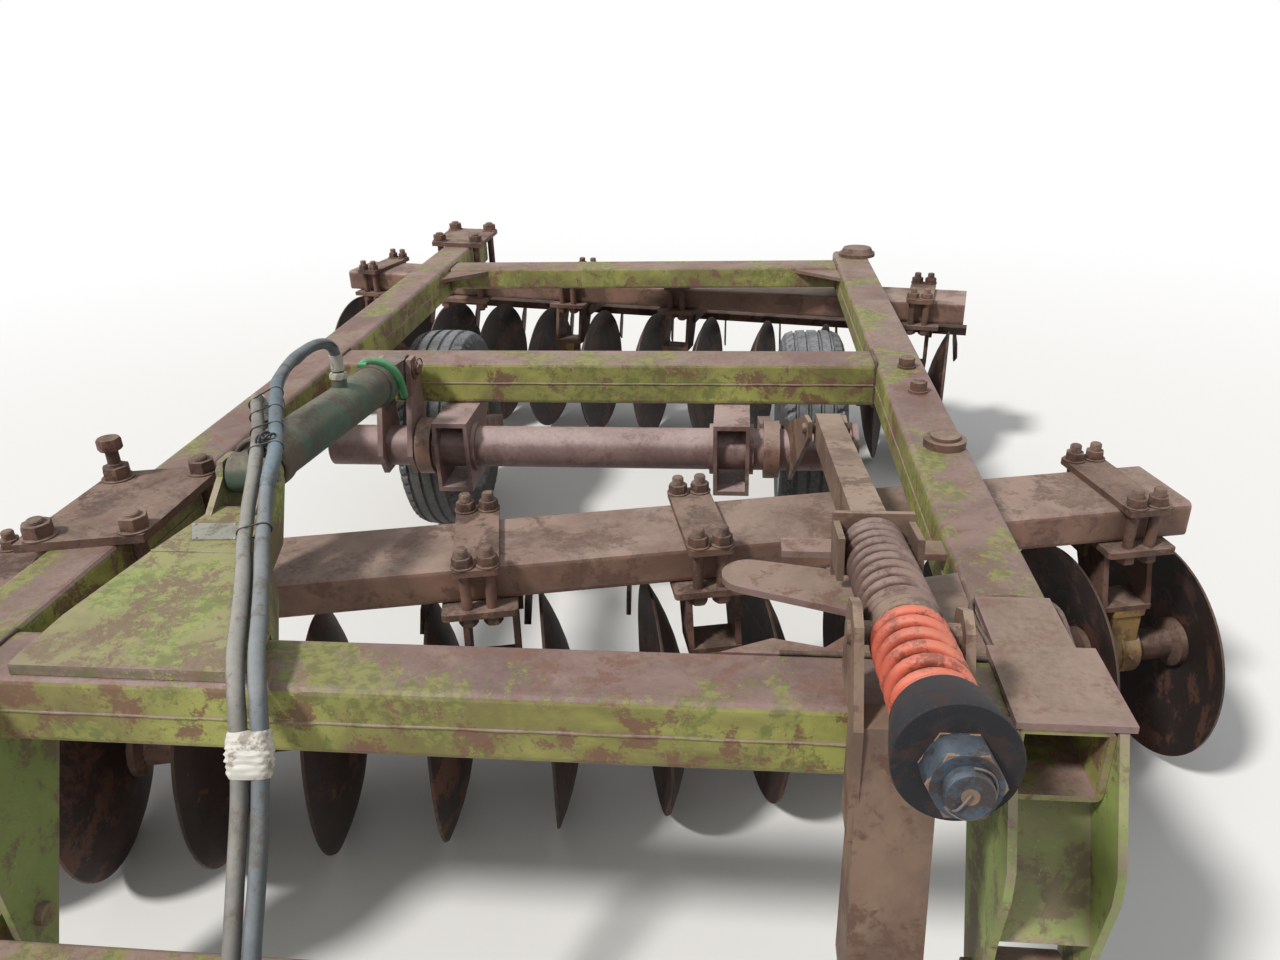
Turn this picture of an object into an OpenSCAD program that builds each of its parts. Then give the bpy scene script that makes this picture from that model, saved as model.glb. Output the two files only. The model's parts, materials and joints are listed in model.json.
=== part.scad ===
// Trailed offset disc harrow: box frame, two angled gangs, rockshaft with
// transport wheels, lift cylinder, levelling link and drawbar.
// Millimetres. +Y runs rearward from the drawbar, +X is to the right of someone
// who stands at the hitch and looks at the machine, +Z is up. The ground is z = 0.

/* [Frame] */
// Outer width of the frame over the long members.
frame_w = 1680; // [1560:10:1800]
// Height of the frame's top face above the ground.
frame_top = 760; // [750:5:800]
// Width of the box members.
member_w = 120; // [100:2:124]
// Height of the box members.
member_h = 115; // [100:1:120]
// Rounding of the box members' edges.
member_r = 12; // [6:1:16]
// Front end of the long members.
front_y = -1422; // [-1440:2:-1412]
// Rear end of the member that carries the rear pivot pin.
right_rear_y = 1344; // [1338:2:1400]
// Rear end of the long member with the clamp.
left_rear_y = 1736; // [1720:4:1800]
// Centre line of the front cross beam.
front_beam_y = -1338; // [-1340:1:-1334]
// Centre line of the middle cross beam.
mid_beam_y = 59; // [55:1:70]
// Centre line of the rear cross beam.
rear_beam_y = 1201; // [1190:1:1205]
// Height of the rear cross beam.
rear_beam_h = 78; // [60:2:90]

/* [Gangs] */
// Angle of the front gang.
front_angle = 12.85; // [12:0.05:13.5]
// Angle of the rear gang.
rear_angle = 12.8; // [12:0.05:13.5]
// Where the front gang beam's centre line crosses x = 0.
front_gang_y = -701; // [-710:1:-690]
// Where the rear gang beam's centre line crosses x = 0.
rear_gang_y = 1451; // [1446:1:1470]
// Width of a gang beam.
gang_w = 200; // [180:2:204]
// Height of a gang beam.
gang_h = 80; // [70:1:84]
// Gap between the frame's underside and a gang beam.
gang_gap = 19; // [15:1:22]
// Spacing of the discs along the axle.
disc_pitch = 228; // [224:1:234]
// Diameter of a disc.
disc_d = 500; // [480:2:508]
// Depth of the dish of a disc.
disc_depth = 65; // [55:1:68]
// Thickness of a disc.
disc_t = 6; // [5:0.5:7]
// How far the axle lies ahead of its beam's centre line.
axle_lead = 65; // [60:1:72]
// Side of the square axle bar.
axle_side = 30; // [28:1:34]

/* [Lift] */
// Diameter of the rockshaft tube.
rock_d = 108; // [100:1:112]
// Rockshaft centre, rearward position.
rock_y = -78; // [-80:1:-76]
// Rockshaft centre, height.
rock_z = 553; // [550:1:556]
// Wheel centre, rearward position.
wheel_y = 596; // [580:2:600]
// Distance of a wheel's centre plane from the middle.
wheel_x = 602; // [600:1:604]
// Diameter of a tyre.
tyre_d = 660; // [640:2:664]
// Width of a tyre.
tyre_w = 205; // [190:1:208]
// Cylinder barrel diameter.
barrel_d = 100; // [90:1:106]
// Cylinder rod diameter.
rod_d = 44; // [36:1:48]
// Cylinder and crank plane.
cyl_x = -526; // [-530:1:-522]

/* [Drawbar] */
// Hinge of the drawbar, rearward position.
hinge_y = -1430; // [-1434:1:-1426]
// Hinge of the drawbar, height.
hinge_z = 330; // [324:1:336]
// Side of the square drawbar beam.
draw_s = 100; // [90:1:110]
// Plane of the drawbar and of the levelling link.
link_x = 577; // [570:1:584]
// Centre of the hitch hole, rearward position.
hitch_y = -3700; // [-3900:10:-3600]
// Diameter of the hitch hole.
hitch_hole_d = 33; // [30:1:36]
// Height of the trunnion that carries the levelling springs.
trunnion_z = 880; // [870:1:890]

/* [Hidden] */
$fn = 48;
e = 0.3;
half = frame_w / 2;
mem_x = half - member_w / 2;
mem_z0 = frame_top - member_h;
gang_top = mem_z0 - gang_gap;
gang_bot = gang_top - gang_h;
axle_z = disc_d / 2;
disc_r = disc_d / 2;
plate_t = 14;
// Hangers stand midway between discs; each section of six has two.
hanger_steps = [-4, 0, 2, 6];
front_hangers = [for (k = hanger_steps) -158 + k * disc_pitch];
rear_hangers = [for (k = hanger_steps) -301 + k * disc_pitch];
bear_shift = 25;
bear_w = 80;
bear_d = 112;
journal_d = 72;
leg_x = 50;
leg_shift = 15;
arm_x = 455;
arm_w = 40;
arm_len = sqrt(pow(wheel_y - rock_y, 2) + pow(rock_z - tyre_d / 2, 2));
arm_ang = -atan2(rock_z - tyre_d / 2, wheel_y - rock_y);
anchor_y = -874;
anchor_z = frame_top + 78;
crank_y = rock_y + 22;
crank_z = rock_z + 207;
cyl_len = sqrt(pow(crank_y - anchor_y, 2) + pow(crank_z - anchor_z, 2));
cyl_ang = atan2(crank_z - anchor_z, crank_y - anchor_y);
arm_pin_y = rock_y - 196;
arm_pin_z = rock_z + 140;
trunnion_y = -1400;
link_len = sqrt(pow(arm_pin_y - trunnion_y, 2) + pow(arm_pin_z - trunnion_z, 2));
link_ang = atan2(arm_pin_z - trunnion_z, arm_pin_y - trunnion_y);
inner_x = half - member_w;
post_x = half - member_w / 2 + e;
post_half = member_w / 2 + e;
post_t = 11.7;
cross_s = 90;
cross_x = post_x + 60;
cross_y = -1556;
mast_y1 = -1440;
loop_x = [-374.5, 353];
loop_half = 46;
spring_end = 312;
jack_x = link_x + 110;
jack_y = -3250;

hose_d = 24;
hose_r = hose_d / 2;
coil_r = 120;
coil_y = -1990;
grey_coil_x = -108;
pale_coil_x = -462;
grey_tail_x = grey_coil_x - 138;
pale_tail_x = pale_coil_x + 138;
// A hose's tail from its coil to its coupler: distance in front of the coil's centre, and height.
tail_run = [[70, 36.5], [110, 31], [150, 22], [180, 17], [205, 17]];
// Routes of the free hoses from their elbows to the ground.
grey_route = [[-526, -421, 882.3], [-526, -420, 908], [-528, -424, 934], [-533, -448, 952], [-541, -484, 959],
    [-550, -520, 957], [-558, -566, 951], [-552, -650, 938], [-525, -727, 926], [-488, -815, 915],
    [-455, -890, 911], [-437, -940, 902], [-432, -976, 886], [-430, -1005, 860], [-422, -1044, 830],
    [-398, -1112, 814], [-364, -1189, 808], [-321, -1290, 804], [-288, -1372, 798], [-269, -1421, 775],
    [-261, -1454, 718], [-257, -1492, 650], [-251, -1540, 584], [-247, -1600, 504], [-246, -1645, 420],
    [-246, -1680, 335], [-247, -1708, 250], [-248, -1732, 170], [-249, -1756, 100], [-250, -1788, 48],
    [-251, -1835, 21], [-252, -1890, 13], [-252, -1940, 13], [-252, -1985, 13]];
pale_route = [[-605, -637.4, 865.1], [-605, -636.9, 872], [-604.5, -640, 884], [-600, -654, 898],
    [-588, -684, 910], [-552, -756, 912],
    [-513, -837, 908], [-483, -907, 905], [-466, -955, 895], [-460, -990, 870], [-459, -1018, 843],
    [-451, -1052, 823], [-428, -1114, 814], [-394, -1190, 808], [-351, -1291, 804], [-318, -1374, 798],
    [-299, -1422, 775], [-291, -1455, 718], [-286, -1492, 650], [-281, -1540, 584], [-275, -1600, 503],
    [-277, -1645, 420], [-281, -1680, 335], [-287, -1708, 250], [-294, -1732, 170], [-302, -1756, 100],
    [-309, -1788, 48], [-314, -1835, 21], [-318, -1890, 13], [-318, -1940, 13], [-318, -1985, 13]];

green = [0.42, 0.47, 0.20];
rust = [0.34, 0.22, 0.17];
dark = [0.16, 0.12, 0.10];
steel = [0.30, 0.28, 0.27];
ochre = [0.72, 0.55, 0.25];
orange = [0.62, 0.22, 0.12];
black = [0.06, 0.06, 0.06];
hose_grey = [0.45, 0.50, 0.54];

// The row stands with the middle of its box over the origin.
shift_y = -(hitch_y - 50 + rear_gang_y + 481) / 2;
module placed() {
    translate([0, shift_y, 0]) children();
}

// A box between two corners.
module block(a, b) {
    translate(a) cube([b[0] - a[0], b[1] - a[1], b[2] - a[2]]);
}

// A rectangle with rounded corners, as a list of points.
function rrect(w, h, r) = [for (c = [[1, 1, 0], [-1, 1, 90], [-1, -1, 180], [1, -1, 270]], k = [0:3])
    [c[0] * (w / 2 - r) + r * cos(c[2] + 30 * k), c[1] * (h / 2 - r) + r * sin(c[2] + 30 * k)]];

// A box member along +Y from y0 to y1, its centre line at (x, z).
module member_y(x, z, w, h, r, y0, y1) {
    translate([x, y1, z]) rotate([90, 0, 0]) linear_extrude(y1 - y0) polygon(rrect(w, h, r));
}

// A box member along +X from x0 to x1, its centre line at (y, z), its ends open for a stretch.
module member_x(y, z, w, h, r, x0, x1, open = 0) {
    difference() {
        translate([x0, y, z]) rotate([90, 0, 90]) linear_extrude(x1 - x0) polygon(rrect(w, h, r));
        if (open > 0) {
            block([x0 - 1, y - w / 2 + 8, z - h / 2 + 8], [x0 + open, y + w / 2 - 8, z + h / 2 - 8]);
            block([x1 - open, y - w / 2 + 8, z - h / 2 + 8], [x1 + 1, y + w / 2 - 8, z + h / 2 - 8]);
        }
    }
}

// A round bar along +X between x0 and x1 at (y, z).
module bar_x(x0, x1, y, z, d) {
    translate([x0, y, z]) rotate([0, 90, 0]) cylinder(d = d, h = x1 - x0);
}

// The places of the gangs: local x along the beam, local y rearward of it.
module front_place() {
    translate([0, front_gang_y, 0]) rotate([0, 0, front_angle]) children();
}
module rear_place() {
    translate([0, rear_gang_y, 0]) rotate([0, 0, -rear_angle]) children();
}

// A tube swept along points, with its section turned by a reference direction.
function unit(v) = v / norm(v);
function tang(p, i) = unit(p[min(i + 1, len(p) - 1)] - p[max(i - 1, 0)]);
module sweep(p, r, n, ref) {
    rings = [for (i = [0:len(p) - 1]) let (t = tang(p, i), a = unit(cross(t, ref)), b = cross(t, a))
        for (k = [0:n - 1]) p[i] + r * (cos(360 * k / n) * a + sin(360 * k / n) * b)];
    m = len(p);
    faces = concat(
        [[for (k = [0:n - 1]) k]],
        [[for (k = [n - 1:-1:0]) (m - 1) * n + k]],
        [for (i = [0:m - 2], k = [0:n - 1]) [i * n + k, (i + 1) * n + k, (i + 1) * n + (k + 1) % n]],
        [for (i = [0:m - 2], k = [0:n - 1]) [i * n + k, (i + 1) * n + (k + 1) % n, i * n + (k + 1) % n]]);
    polyhedron(points = rings, faces = faces, convexity = 8);
}

// Main frame: long members and cross beams, welded.
module main_frame() {
    zc = frame_top - member_h / 2;
    beam_end = inner_x + 8;
    color(green) {
        difference() {
            union() {
                member_y(mem_x, zc, member_w, member_h, member_r, front_y, right_rear_y);
                member_y(-mem_x, zc, member_w, member_h, member_r, front_y, left_rear_y);
                member_x(front_beam_y, zc, member_w, member_h, member_r, -beam_end, beam_end);
                member_x(mid_beam_y, zc, member_w - 2, member_h, member_r, -beam_end, beam_end);
                member_x(rear_beam_y, frame_top - 12 - rear_beam_h / 2, member_w - 4, rear_beam_h, 10,
                    -beam_end, beam_end);
            }
            for (sx = [-1, 1])
                block([sx * mem_x - member_w / 2 + 9, front_y - 1, mem_z0 + 9],
                    [sx * mem_x + member_w / 2 - 9, front_y + 130, frame_top - 9]);
            block([mem_x - member_w / 2 + 9, right_rear_y - 40, mem_z0 + 9],
                [mem_x + member_w / 2 - 9, right_rear_y + 1, frame_top - 9]);
            block([-mem_x - member_w / 2 + 9, left_rear_y - 70, mem_z0 + 9],
                [-mem_x + member_w / 2 - 9, left_rear_y + 1, frame_top - 9]);
        }
    }
}

// Corner plate, gussets and flat bars of the frame.
module frame_plates() {
    deck = frame_top - 14;
    color(green) {
        // Front corner plate.
        translate([0, 0, frame_top + e]) linear_extrude(10)
            polygon([[inner_x - 4, front_y - 3], [half + 22, front_y - 3], [half + 22, front_y + 164],
                [half - 4, front_y + 164], [half - 4, front_y + 292], [inner_x + 6, front_y + 292],
                [inner_x + 6, front_y + 164], [inner_x - 4, front_y + 164]]);
        // Front gusset, and the tapered plate and flat bar behind it.
        translate([0, 0, deck]) linear_extrude(12)
            polygon([[345, -1277.7], [421, -1239], [495, -1258], [600, -1150], [655, -1060],
                [inner_x - e, -1040], [inner_x - e, -1277.7]]);
        translate([0, 0, deck - 12 - e]) linear_extrude(12) {
            translate([390, -1037]) circle(r = 46);
            polygon([[400, -992], [inner_x - e, -1058], [inner_x - e, -1206], [374, -1080]]);
            polygon([[445, -960], [inner_x - e, -960], [inner_x - e, -912], [445, -912]]);
        }
        // Rear corner gussets.
        for (sx = [-1, 1])
            translate([0, 0, frame_top - 34]) linear_extrude(12)
                polygon([[sx * (inner_x - e), rear_beam_y - member_w / 2 + 1],
                    [sx * (inner_x - e), rear_beam_y - 190],
                    [sx * (inner_x - 150), rear_beam_y - member_w / 2 + 1]]);
    }
}

// Pivot pins and loose bolts on the long members.
module frame_bolts() {
    color(rust) {
        translate([793, -525, mem_z0 - gang_gap + e]) cylinder(d = 86, h = gang_gap - 2 * e);
        translate([793, -525, frame_top + e]) cylinder(d = 86, h = 16);
        translate([793, -525, frame_top + 16]) cylinder(d = 60, h = 8);
        translate([801, 1269, mem_z0 - gang_gap + e]) cylinder(d = 110, h = gang_gap - 2 * e);
        translate([801, 1269, frame_top + e]) cylinder(d = 130, h = 12);
        translate([801, 1269, frame_top + 12]) cylinder(d1 = 120, d2 = 100, h = 18, $fn = 48);
        for (y = [-21, -202]) {
            translate([791, y, frame_top + e]) cylinder(d = 46, h = 5);
            translate([791, y, frame_top + 5]) cylinder(d = 40, h = 20, $fn = 6);
        }
    }
}

// Gang beams: flat box sections.
module gang_bar(t0, t1) {
    zc = (gang_top + gang_bot) / 2;
    member_x(0, zc, gang_w, gang_h, 12, t0, t1, 60);
}
module front_beam() {
    color(rust) front_place() gang_bar(-1190, 1329);
}
module rear_beam() {
    color(rust) rear_place() gang_bar(-1330, 1225);
}

// Clamp that holds a gang beam under a long member; k is the beam's slope.
function skew_plate(hx, hy, k) =
    [[-hx, -hy - k * hx], [hx, -hy + k * hx], [hx, hy + k * hx], [-hx, hy - k * hx]];
module beam_clamp(k) {
    bolt_x = member_w / 2 + 19;
    bolt_y = gang_w / 2 * sqrt(1 + k * k) + 19;
    translate([0, 0, frame_top + e]) linear_extrude(16) polygon(skew_plate(bolt_x + 28, bolt_y + 30, k));
    translate([0, 0, gang_bot - 16 - e]) linear_extrude(16) polygon(skew_plate(bolt_x + 28, bolt_y + 30, k));
    translate([0, 0, mem_z0 - gang_gap + e]) linear_extrude(gang_gap - 2 * e)
        polygon(skew_plate(member_w / 2, gang_w / 2 - 4, k));
    for (x = [-bolt_x, bolt_x], y = [-bolt_y, bolt_y])
        translate([x, y + k * x, 0]) {
            translate([0, 0, gang_bot - 50]) cylinder(d = 26, h = frame_top - gang_bot + 100);
            translate([0, 0, frame_top + 16 + e]) cylinder(d = 52, h = 26, $fn = 6);
            translate([0, 0, gang_bot - 16 - e - 24]) cylinder(d = 48, h = 24, $fn = 6);
        }
}
module front_clamps() {
    x = -mem_x;
    k = tan(front_angle);
    color(rust) translate([x, front_gang_y + k * x, 0]) beam_clamp(k);
}
module rear_clamps() {
    x = -mem_x;
    k = -tan(rear_angle);
    color(rust) translate([x, rear_gang_y + k * x, 0]) beam_clamp(k);
}

// One hanger at local t: top plate, long bolts, lower plate and bent legs.
module hanger(t, side) {
    foot_z = axle_z + 125;
    lean = -axle_lead;
    translate([t, 0, 0]) {
        translate([0, 0, gang_top + e]) linear_extrude(plate_t) polygon(rrect(90, gang_w + 84, 8));
        translate([0, 0, gang_bot - plate_t - e]) linear_extrude(plate_t) polygon(rrect(148, gang_w + 84, 8));
        for (x = [-24, 24], y = [-gang_w / 2 - 20, gang_w / 2 + 20]) translate([x, y, 0]) {
            translate([0, 0, gang_bot - plate_t - 24]) cylinder(d = 22, h = gang_h + 2 * plate_t + 62);
            translate([0, 0, gang_top + plate_t + 2 * e]) cylinder(d = 40, h = 20, $fn = 6);
            translate([0, 0, gang_bot - plate_t - 20]) cylinder(d = 38, h = 18, $fn = 6);
        }
        for (x = [-1, 1])
            translate([side * leg_shift + x * leg_x - 6, 0, 0]) rotate([90, 0, 90]) linear_extrude(12)
                polygon([[-70, gang_bot - plate_t - 2 * e], [60, gang_bot - plate_t - 2 * e],
                    [lean + 42, foot_z], [lean - 42, foot_z]]);
        translate([side * leg_shift - leg_x - 6, lean - 42, foot_z]) cube([2 * leg_x + 12, 84, 12]);
    }
}
module front_hanger_frames() {
    color(rust) front_place() for (t = front_hangers) hanger(t, 1);
}
module rear_hanger_frames() {
    color(rust) rear_place() for (t = rear_hangers) hanger(t, -1);
}

// Cast bearing housing under each hanger, bored for the axle's journal.
module bearing(t, side) {
    foot_z = axle_z + 125;
    translate([t, -axle_lead, 0])
        difference() {
            union() {
                translate([side * bear_shift - bear_w / 2, 0, axle_z]) rotate([0, 90, 0])
                    cylinder(d = bear_d, h = bear_w);
                translate([side * bear_shift - bear_w / 2 + 8, -38, axle_z]) cube([bear_w - 16, 76, 110]);
                translate([side * bear_shift - 36, -42, foot_z - 16]) cube([72, 84, 16 - e]);
            }
            translate([side * bear_shift - bear_w / 2 - 1, 0, axle_z]) rotate([0, 90, 0])
                cylinder(d = journal_d + 1.2, h = bear_w + 2);
        }
}
module front_bearings() {
    color(ochre) front_place() for (t = front_hangers) bearing(t, 1);
}
module rear_bearings() {
    color(ochre) rear_place() for (t = rear_hangers) bearing(t, -1);
}

// Scraper bar behind the gang, on an arm from each hanger, with a blade for each disc.
module scraper_set(hangers, side, t0, t1) {
    bar_y = gang_w / 2 + 60;
    arm_z = gang_bot - 76;
    bar_z = arm_z - 15 - e;
    member_x(bar_y, bar_z, 50, 30, 4, t0, t1, 30);
    for (t = hangers, s = [-1, 1])
        translate([t + side * leg_shift + s * (leg_x + 11 + e) - 5, -20, arm_z]) cube([10, bar_y + 45, 41]);
    for (h = [hangers[0], hangers[2]], k = [0:5])
        translate([h - disc_pitch / 2 + k * disc_pitch - side * 17, bar_y, bar_z - 15 - e])
            rotate([0, 0, -side * 12]) translate([-3, 0, 0]) rotate([90, 0, 90]) linear_extrude(6)
                polygon([[-24, 0], [22, 0], [8, -34], [-42, -100], [-84, -72], [-60, -24]]);
}
module front_scrapers() {
    color(rust) front_place() scraper_set(front_hangers, 1, -1240, 1330);
}
module rear_scrapers() {
    color(rust) rear_place() scraper_set(rear_hangers, -1, -1360, 1240);
}

// One dished disc about local X, its hub plane at x = 0, bowl towards -X.
sph_r = (pow(disc_r, 2) + pow(disc_depth, 2)) / (2 * disc_depth);
disc_rr = [60, 100, 140, 180, 215, disc_r];
function dish(r, flat) = r <= flat ? 0 : (sph_r - sqrt(pow(sph_r, 2) - pow(r, 2)));
module dished() {
    rotate([0, -90, 0]) difference() {
        rotate_extrude($fn = 72) polygon(concat([[0, 0]], [for (r = disc_rr) [r, dish(r, 60)]],
            [[disc_r, disc_depth - disc_t * 0.4]],
            [for (k = [len(disc_rr) - 1:-1:0]) [disc_rr[k] - 1, dish(disc_rr[k], 60) - disc_t]],
            [[0, -disc_t]]));
        translate([-axle_side / 2 - e, -axle_side / 2 - e, -disc_t - 5])
            cube([axle_side + 2 * e, axle_side + 2 * e, disc_t + 10]);
    }
}

// Six discs of a section; h is the section's first hanger.
module disc_set(h, side) {
    for (k = [0:5])
        translate([h - disc_pitch / 2 + k * disc_pitch + side * disc_depth, -axle_lead, axle_z])
            scale([side, 1, 1]) dished();
}

// Square axle bar with spools between the discs and a nut at each end.
module axle_set(h, side) {
    first = h - disc_pitch / 2 + side * disc_depth;
    back = side > 0 ? disc_t : 0;
    face = side > 0 ? 0 : disc_t;
    translate([0, -axle_lead, axle_z]) {
        translate([first - 48, -axle_side / 2, -axle_side / 2])
            cube([5 * disc_pitch + 96, axle_side, axle_side]);
        for (k = [0:4])
            translate([first + k * disc_pitch + back + e, 0, 0]) rotate([0, 90, 0])
                rotate_extrude() polygon([[0, 0], [55, 0], [55, 14], [journal_d / 2, 26],
                    [journal_d / 2, disc_pitch - disc_t - 2 * e - 26], [55, disc_pitch - disc_t - 2 * e - 14],
                    [55, disc_pitch - disc_t - 2 * e], [0, disc_pitch - disc_t - 2 * e]]);
        for (s = [0, 1])
            translate([s == 0 ? first - face - e : first + 5 * disc_pitch + back + e, 0, 0])
                mirror([1 - s, 0, 0]) {
                    rotate([0, 90, 0]) cylinder(d = 110, h = 14);
                    translate([13, 0, 0]) rotate([0, 90, 0]) cylinder(d = 56, h = 24, $fn = 6);
                }
    }
}
module front_left_discs() {
    color(dark) front_place() disc_set(front_hangers[0], 1);
}
module front_right_discs() {
    color(dark) front_place() disc_set(front_hangers[2], 1);
}
module rear_left_discs() {
    color(dark) rear_place() disc_set(rear_hangers[0], -1);
}
module rear_right_discs() {
    color(dark) rear_place() disc_set(rear_hangers[2], -1);
}
module front_left_axle() {
    color(rust) front_place() axle_set(front_hangers[0], 1);
}
module front_right_axle() {
    color(rust) front_place() axle_set(front_hangers[2], 1);
}
module rear_left_axle() {
    color(rust) rear_place() axle_set(rear_hangers[0], -1);
}
module rear_right_axle() {
    color(rust) rear_place() axle_set(rear_hangers[2], -1);
}

// Posts under the front corners: shaped side plates, a leaning web and the drawbar's hinge bores.
post_back = [[-1482, 440], [-1478, 300], [-1490, 238], [-1428, 238], [-1262, 608]];
module draw_posts() {
    lip = mem_z0 - e;
    outer = concat([[-1258, frame_top - 1], [-1426, frame_top - 1], [-1501, 597], [-1503, 550]], post_back);
    inner = concat([[-1399, frame_top - 1], [-1426, frame_top - 1], [-1501, 597], [-1503, 550]], post_back,
        [[-1262, lip], [-1399, lip]]);
    color(green) for (sx = [-1, 1]) {
        difference() {
            for (k = [0, 1])
                translate([sx * post_x + (k == 0 ? -sx : sx) * (post_half + post_t / 2) - post_t / 2, 0, 0])
                    rotate([90, 0, 90]) linear_extrude(post_t) polygon(k == 0 ? inner : outer);
            bar_x(sx * post_x - 90, sx * post_x + 90, hinge_y, hinge_z, 36.6);
        }
        translate([sx * post_x - post_half - 1, 0, 0]) rotate([90, 0, 90]) linear_extrude(2 * post_half + 2)
            polygon([[-1362, lip], [-1374, lip], [-1474, 445], [-1462, 445]]);
    }
}

// Folded bracket over the front beam that carries the cylinder's front pin.
module cylinder_bracket() {
    y0 = front_beam_y + member_w / 2 + e;
    cover = [[-1390, frame_top + e], [-1388, 776], [-1277, 788], [-1097, 797], [-880, 800],
        [-880, 790], [-1097, 787], [-1277, 778], [-1376, 767], [-1376, frame_top + e]];
    color(green) {
        difference() {
            union() {
                intersection() {
                    translate([-700, 0, 0]) rotate([90, 0, 90]) linear_extrude(440) polygon(cover);
                    translate([0, 0, frame_top - 10]) linear_extrude(80)
                        polygon([[-652, -1395], [-652, -1370], [-638, -1277], [-600, -1097],
                            [cyl_x - 46, -960], [cyl_x - 46, -880], [cyl_x + 46, -880], [cyl_x + 46, -905],
                            [-441, -1000],
                            [-378, -1140], [-306, -1300], [-298, -1395]]);
                }
                translate([0, 0, mem_z0 + 6]) linear_extrude(frame_top - mem_z0 + 20)
                    polygon([[-630, y0], [-318, y0], [-388, -1140], [-450, -1000], [cyl_x + 34, -925],
                        [cyl_x - 34, -925], [-592, -1097]]);
                for (x = [cyl_x - 46, cyl_x + 34])
                    translate([x, 0, 0]) rotate([90, 0, 90]) linear_extrude(12)
                        polygon([[-980, 660], [-980, 792], [anchor_y - 34, anchor_z + 6],
                            [anchor_y - 24, anchor_z + 32], [anchor_y + 24, anchor_z + 32],
                            [anchor_y + 36, anchor_z], [anchor_y + 34, anchor_z - 34], [-892, 700]]);
            }
            bar_x(cyl_x - 60, cyl_x + 60, anchor_y, anchor_z, 32.4);
            translate([cyl_x - 34, -935, mem_z0 - 1]) cube([68, 120, 200]);
        }
        bar_x(cyl_x - 58, cyl_x + 58, anchor_y, anchor_z, 32);
    }
}

// Box loops of flat bar under the middle cross beam that carry the rockshaft.
module shaft_hangers() {
    top = mem_z0 - e;
    color(green) for (x = loop_x) {
        difference() {
            for (s = [-1, 1])
                translate([x + s * (loop_half - 5) - 5, 0, 0]) rotate([90, 0, 90]) linear_extrude(10)
                    polygon([[-150, 452], [-10, 452], [56, 590], [108, 628], [108, top], [-150, top]]);
            bar_x(x - 60, x + 60, rock_y, rock_z, rock_d + 1.2);
        }
        for (z = [452, top - 12])
            block([x - loop_half + 9, -150, z], [x + loop_half - 9, z > 500 ? 108 : -10, z + 12]);
    }
}

// Rockshaft tube with its end flange.
module rockshaft_tube() {
    color(green) {
        bar_x(-717, 672, rock_y, rock_z, rock_d);
        bar_x(672 - 14, 672, rock_y, rock_z, rock_d + 40);
        for (x = loop_x, s = [-1, 1])
            bar_x(x + s * (loop_half + 5.5) - 5, x + s * (loop_half + 5.5) + 5, rock_y, rock_z, rock_d + 24);
    }
}

// Arms that carry the wheels, with their spindles.
module wheel_arms() {
    color(green) for (sx = [-1, 1]) {
        difference() {
            union() {
                translate([sx * arm_x - arm_w / 2, rock_y, rock_z]) rotate([arm_ang, 0, 0])
                    translate([0, 0, -45]) cube([arm_w, arm_len + 40, 90]);
                bar_x(sx * arm_x - arm_w / 2, sx * arm_x + arm_w / 2, rock_y, rock_z, 150);
            }
            bar_x(sx * arm_x - arm_w, sx * arm_x + arm_w, rock_y, rock_z, rock_d + 2 * e);
        }
        bar_x(sx > 0 ? arm_x : -wheel_x - 40, sx > 0 ? wheel_x + 40 : -arm_x, wheel_y, tyre_d / 2, 44);
    }
}

// Crank the cylinder pushes: two plates and a pin.
module crank_arm() {
    color(green) {
        difference() {
            union() for (s = [-1, 1])
                translate([cyl_x + s * 40 - 7, 0, 0]) rotate([90, 0, 90]) linear_extrude(14)
                    polygon([[rock_y - 78, rock_z], [crank_y - 34, crank_z - 10],
                        [crank_y - 20, crank_z + 32], [crank_y + 20, crank_z + 32],
                        [crank_y + 34, crank_z - 10], [rock_y + 78, rock_z],
                        [rock_y + 50, rock_z - 60], [rock_y - 50, rock_z - 60]]);
            bar_x(cyl_x - 60, cyl_x + 60, rock_y, rock_z, rock_d + 2 * e);
        }
        bar_x(cyl_x - 62, cyl_x + 62, crank_y, crank_z, 28);
    }
}

// Arm that drives the levelling link: a straight plate and a slanting one, with the pin across them.
module level_arm() {
    py = arm_pin_y;
    plate = [[rock_y - 40 - py, rock_z - 66], [-26, arm_pin_z - 16], [-22, arm_pin_z + 24],
        [20, arm_pin_z + 26], [rock_y + 62 - py, rock_z + 44], [rock_y + 56 - py, rock_z - 50]];
    color(green) {
        difference() {
            union() {
                translate([link_x + 32, py, 0]) rotate([90, 0, 90]) linear_extrude(12) polygon(plate);
                translate([link_x - 50, py, 0]) rotate([0, 0, 10]) rotate([90, 0, 90]) linear_extrude(10)
                    polygon(plate);
            }
            bar_x(link_x - 120, link_x + 60, rock_y, rock_z, rock_d + 2 * e);
        }
        bar_x(link_x - 58, link_x + 52, py, arm_pin_z, 25);
    }
}

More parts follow.
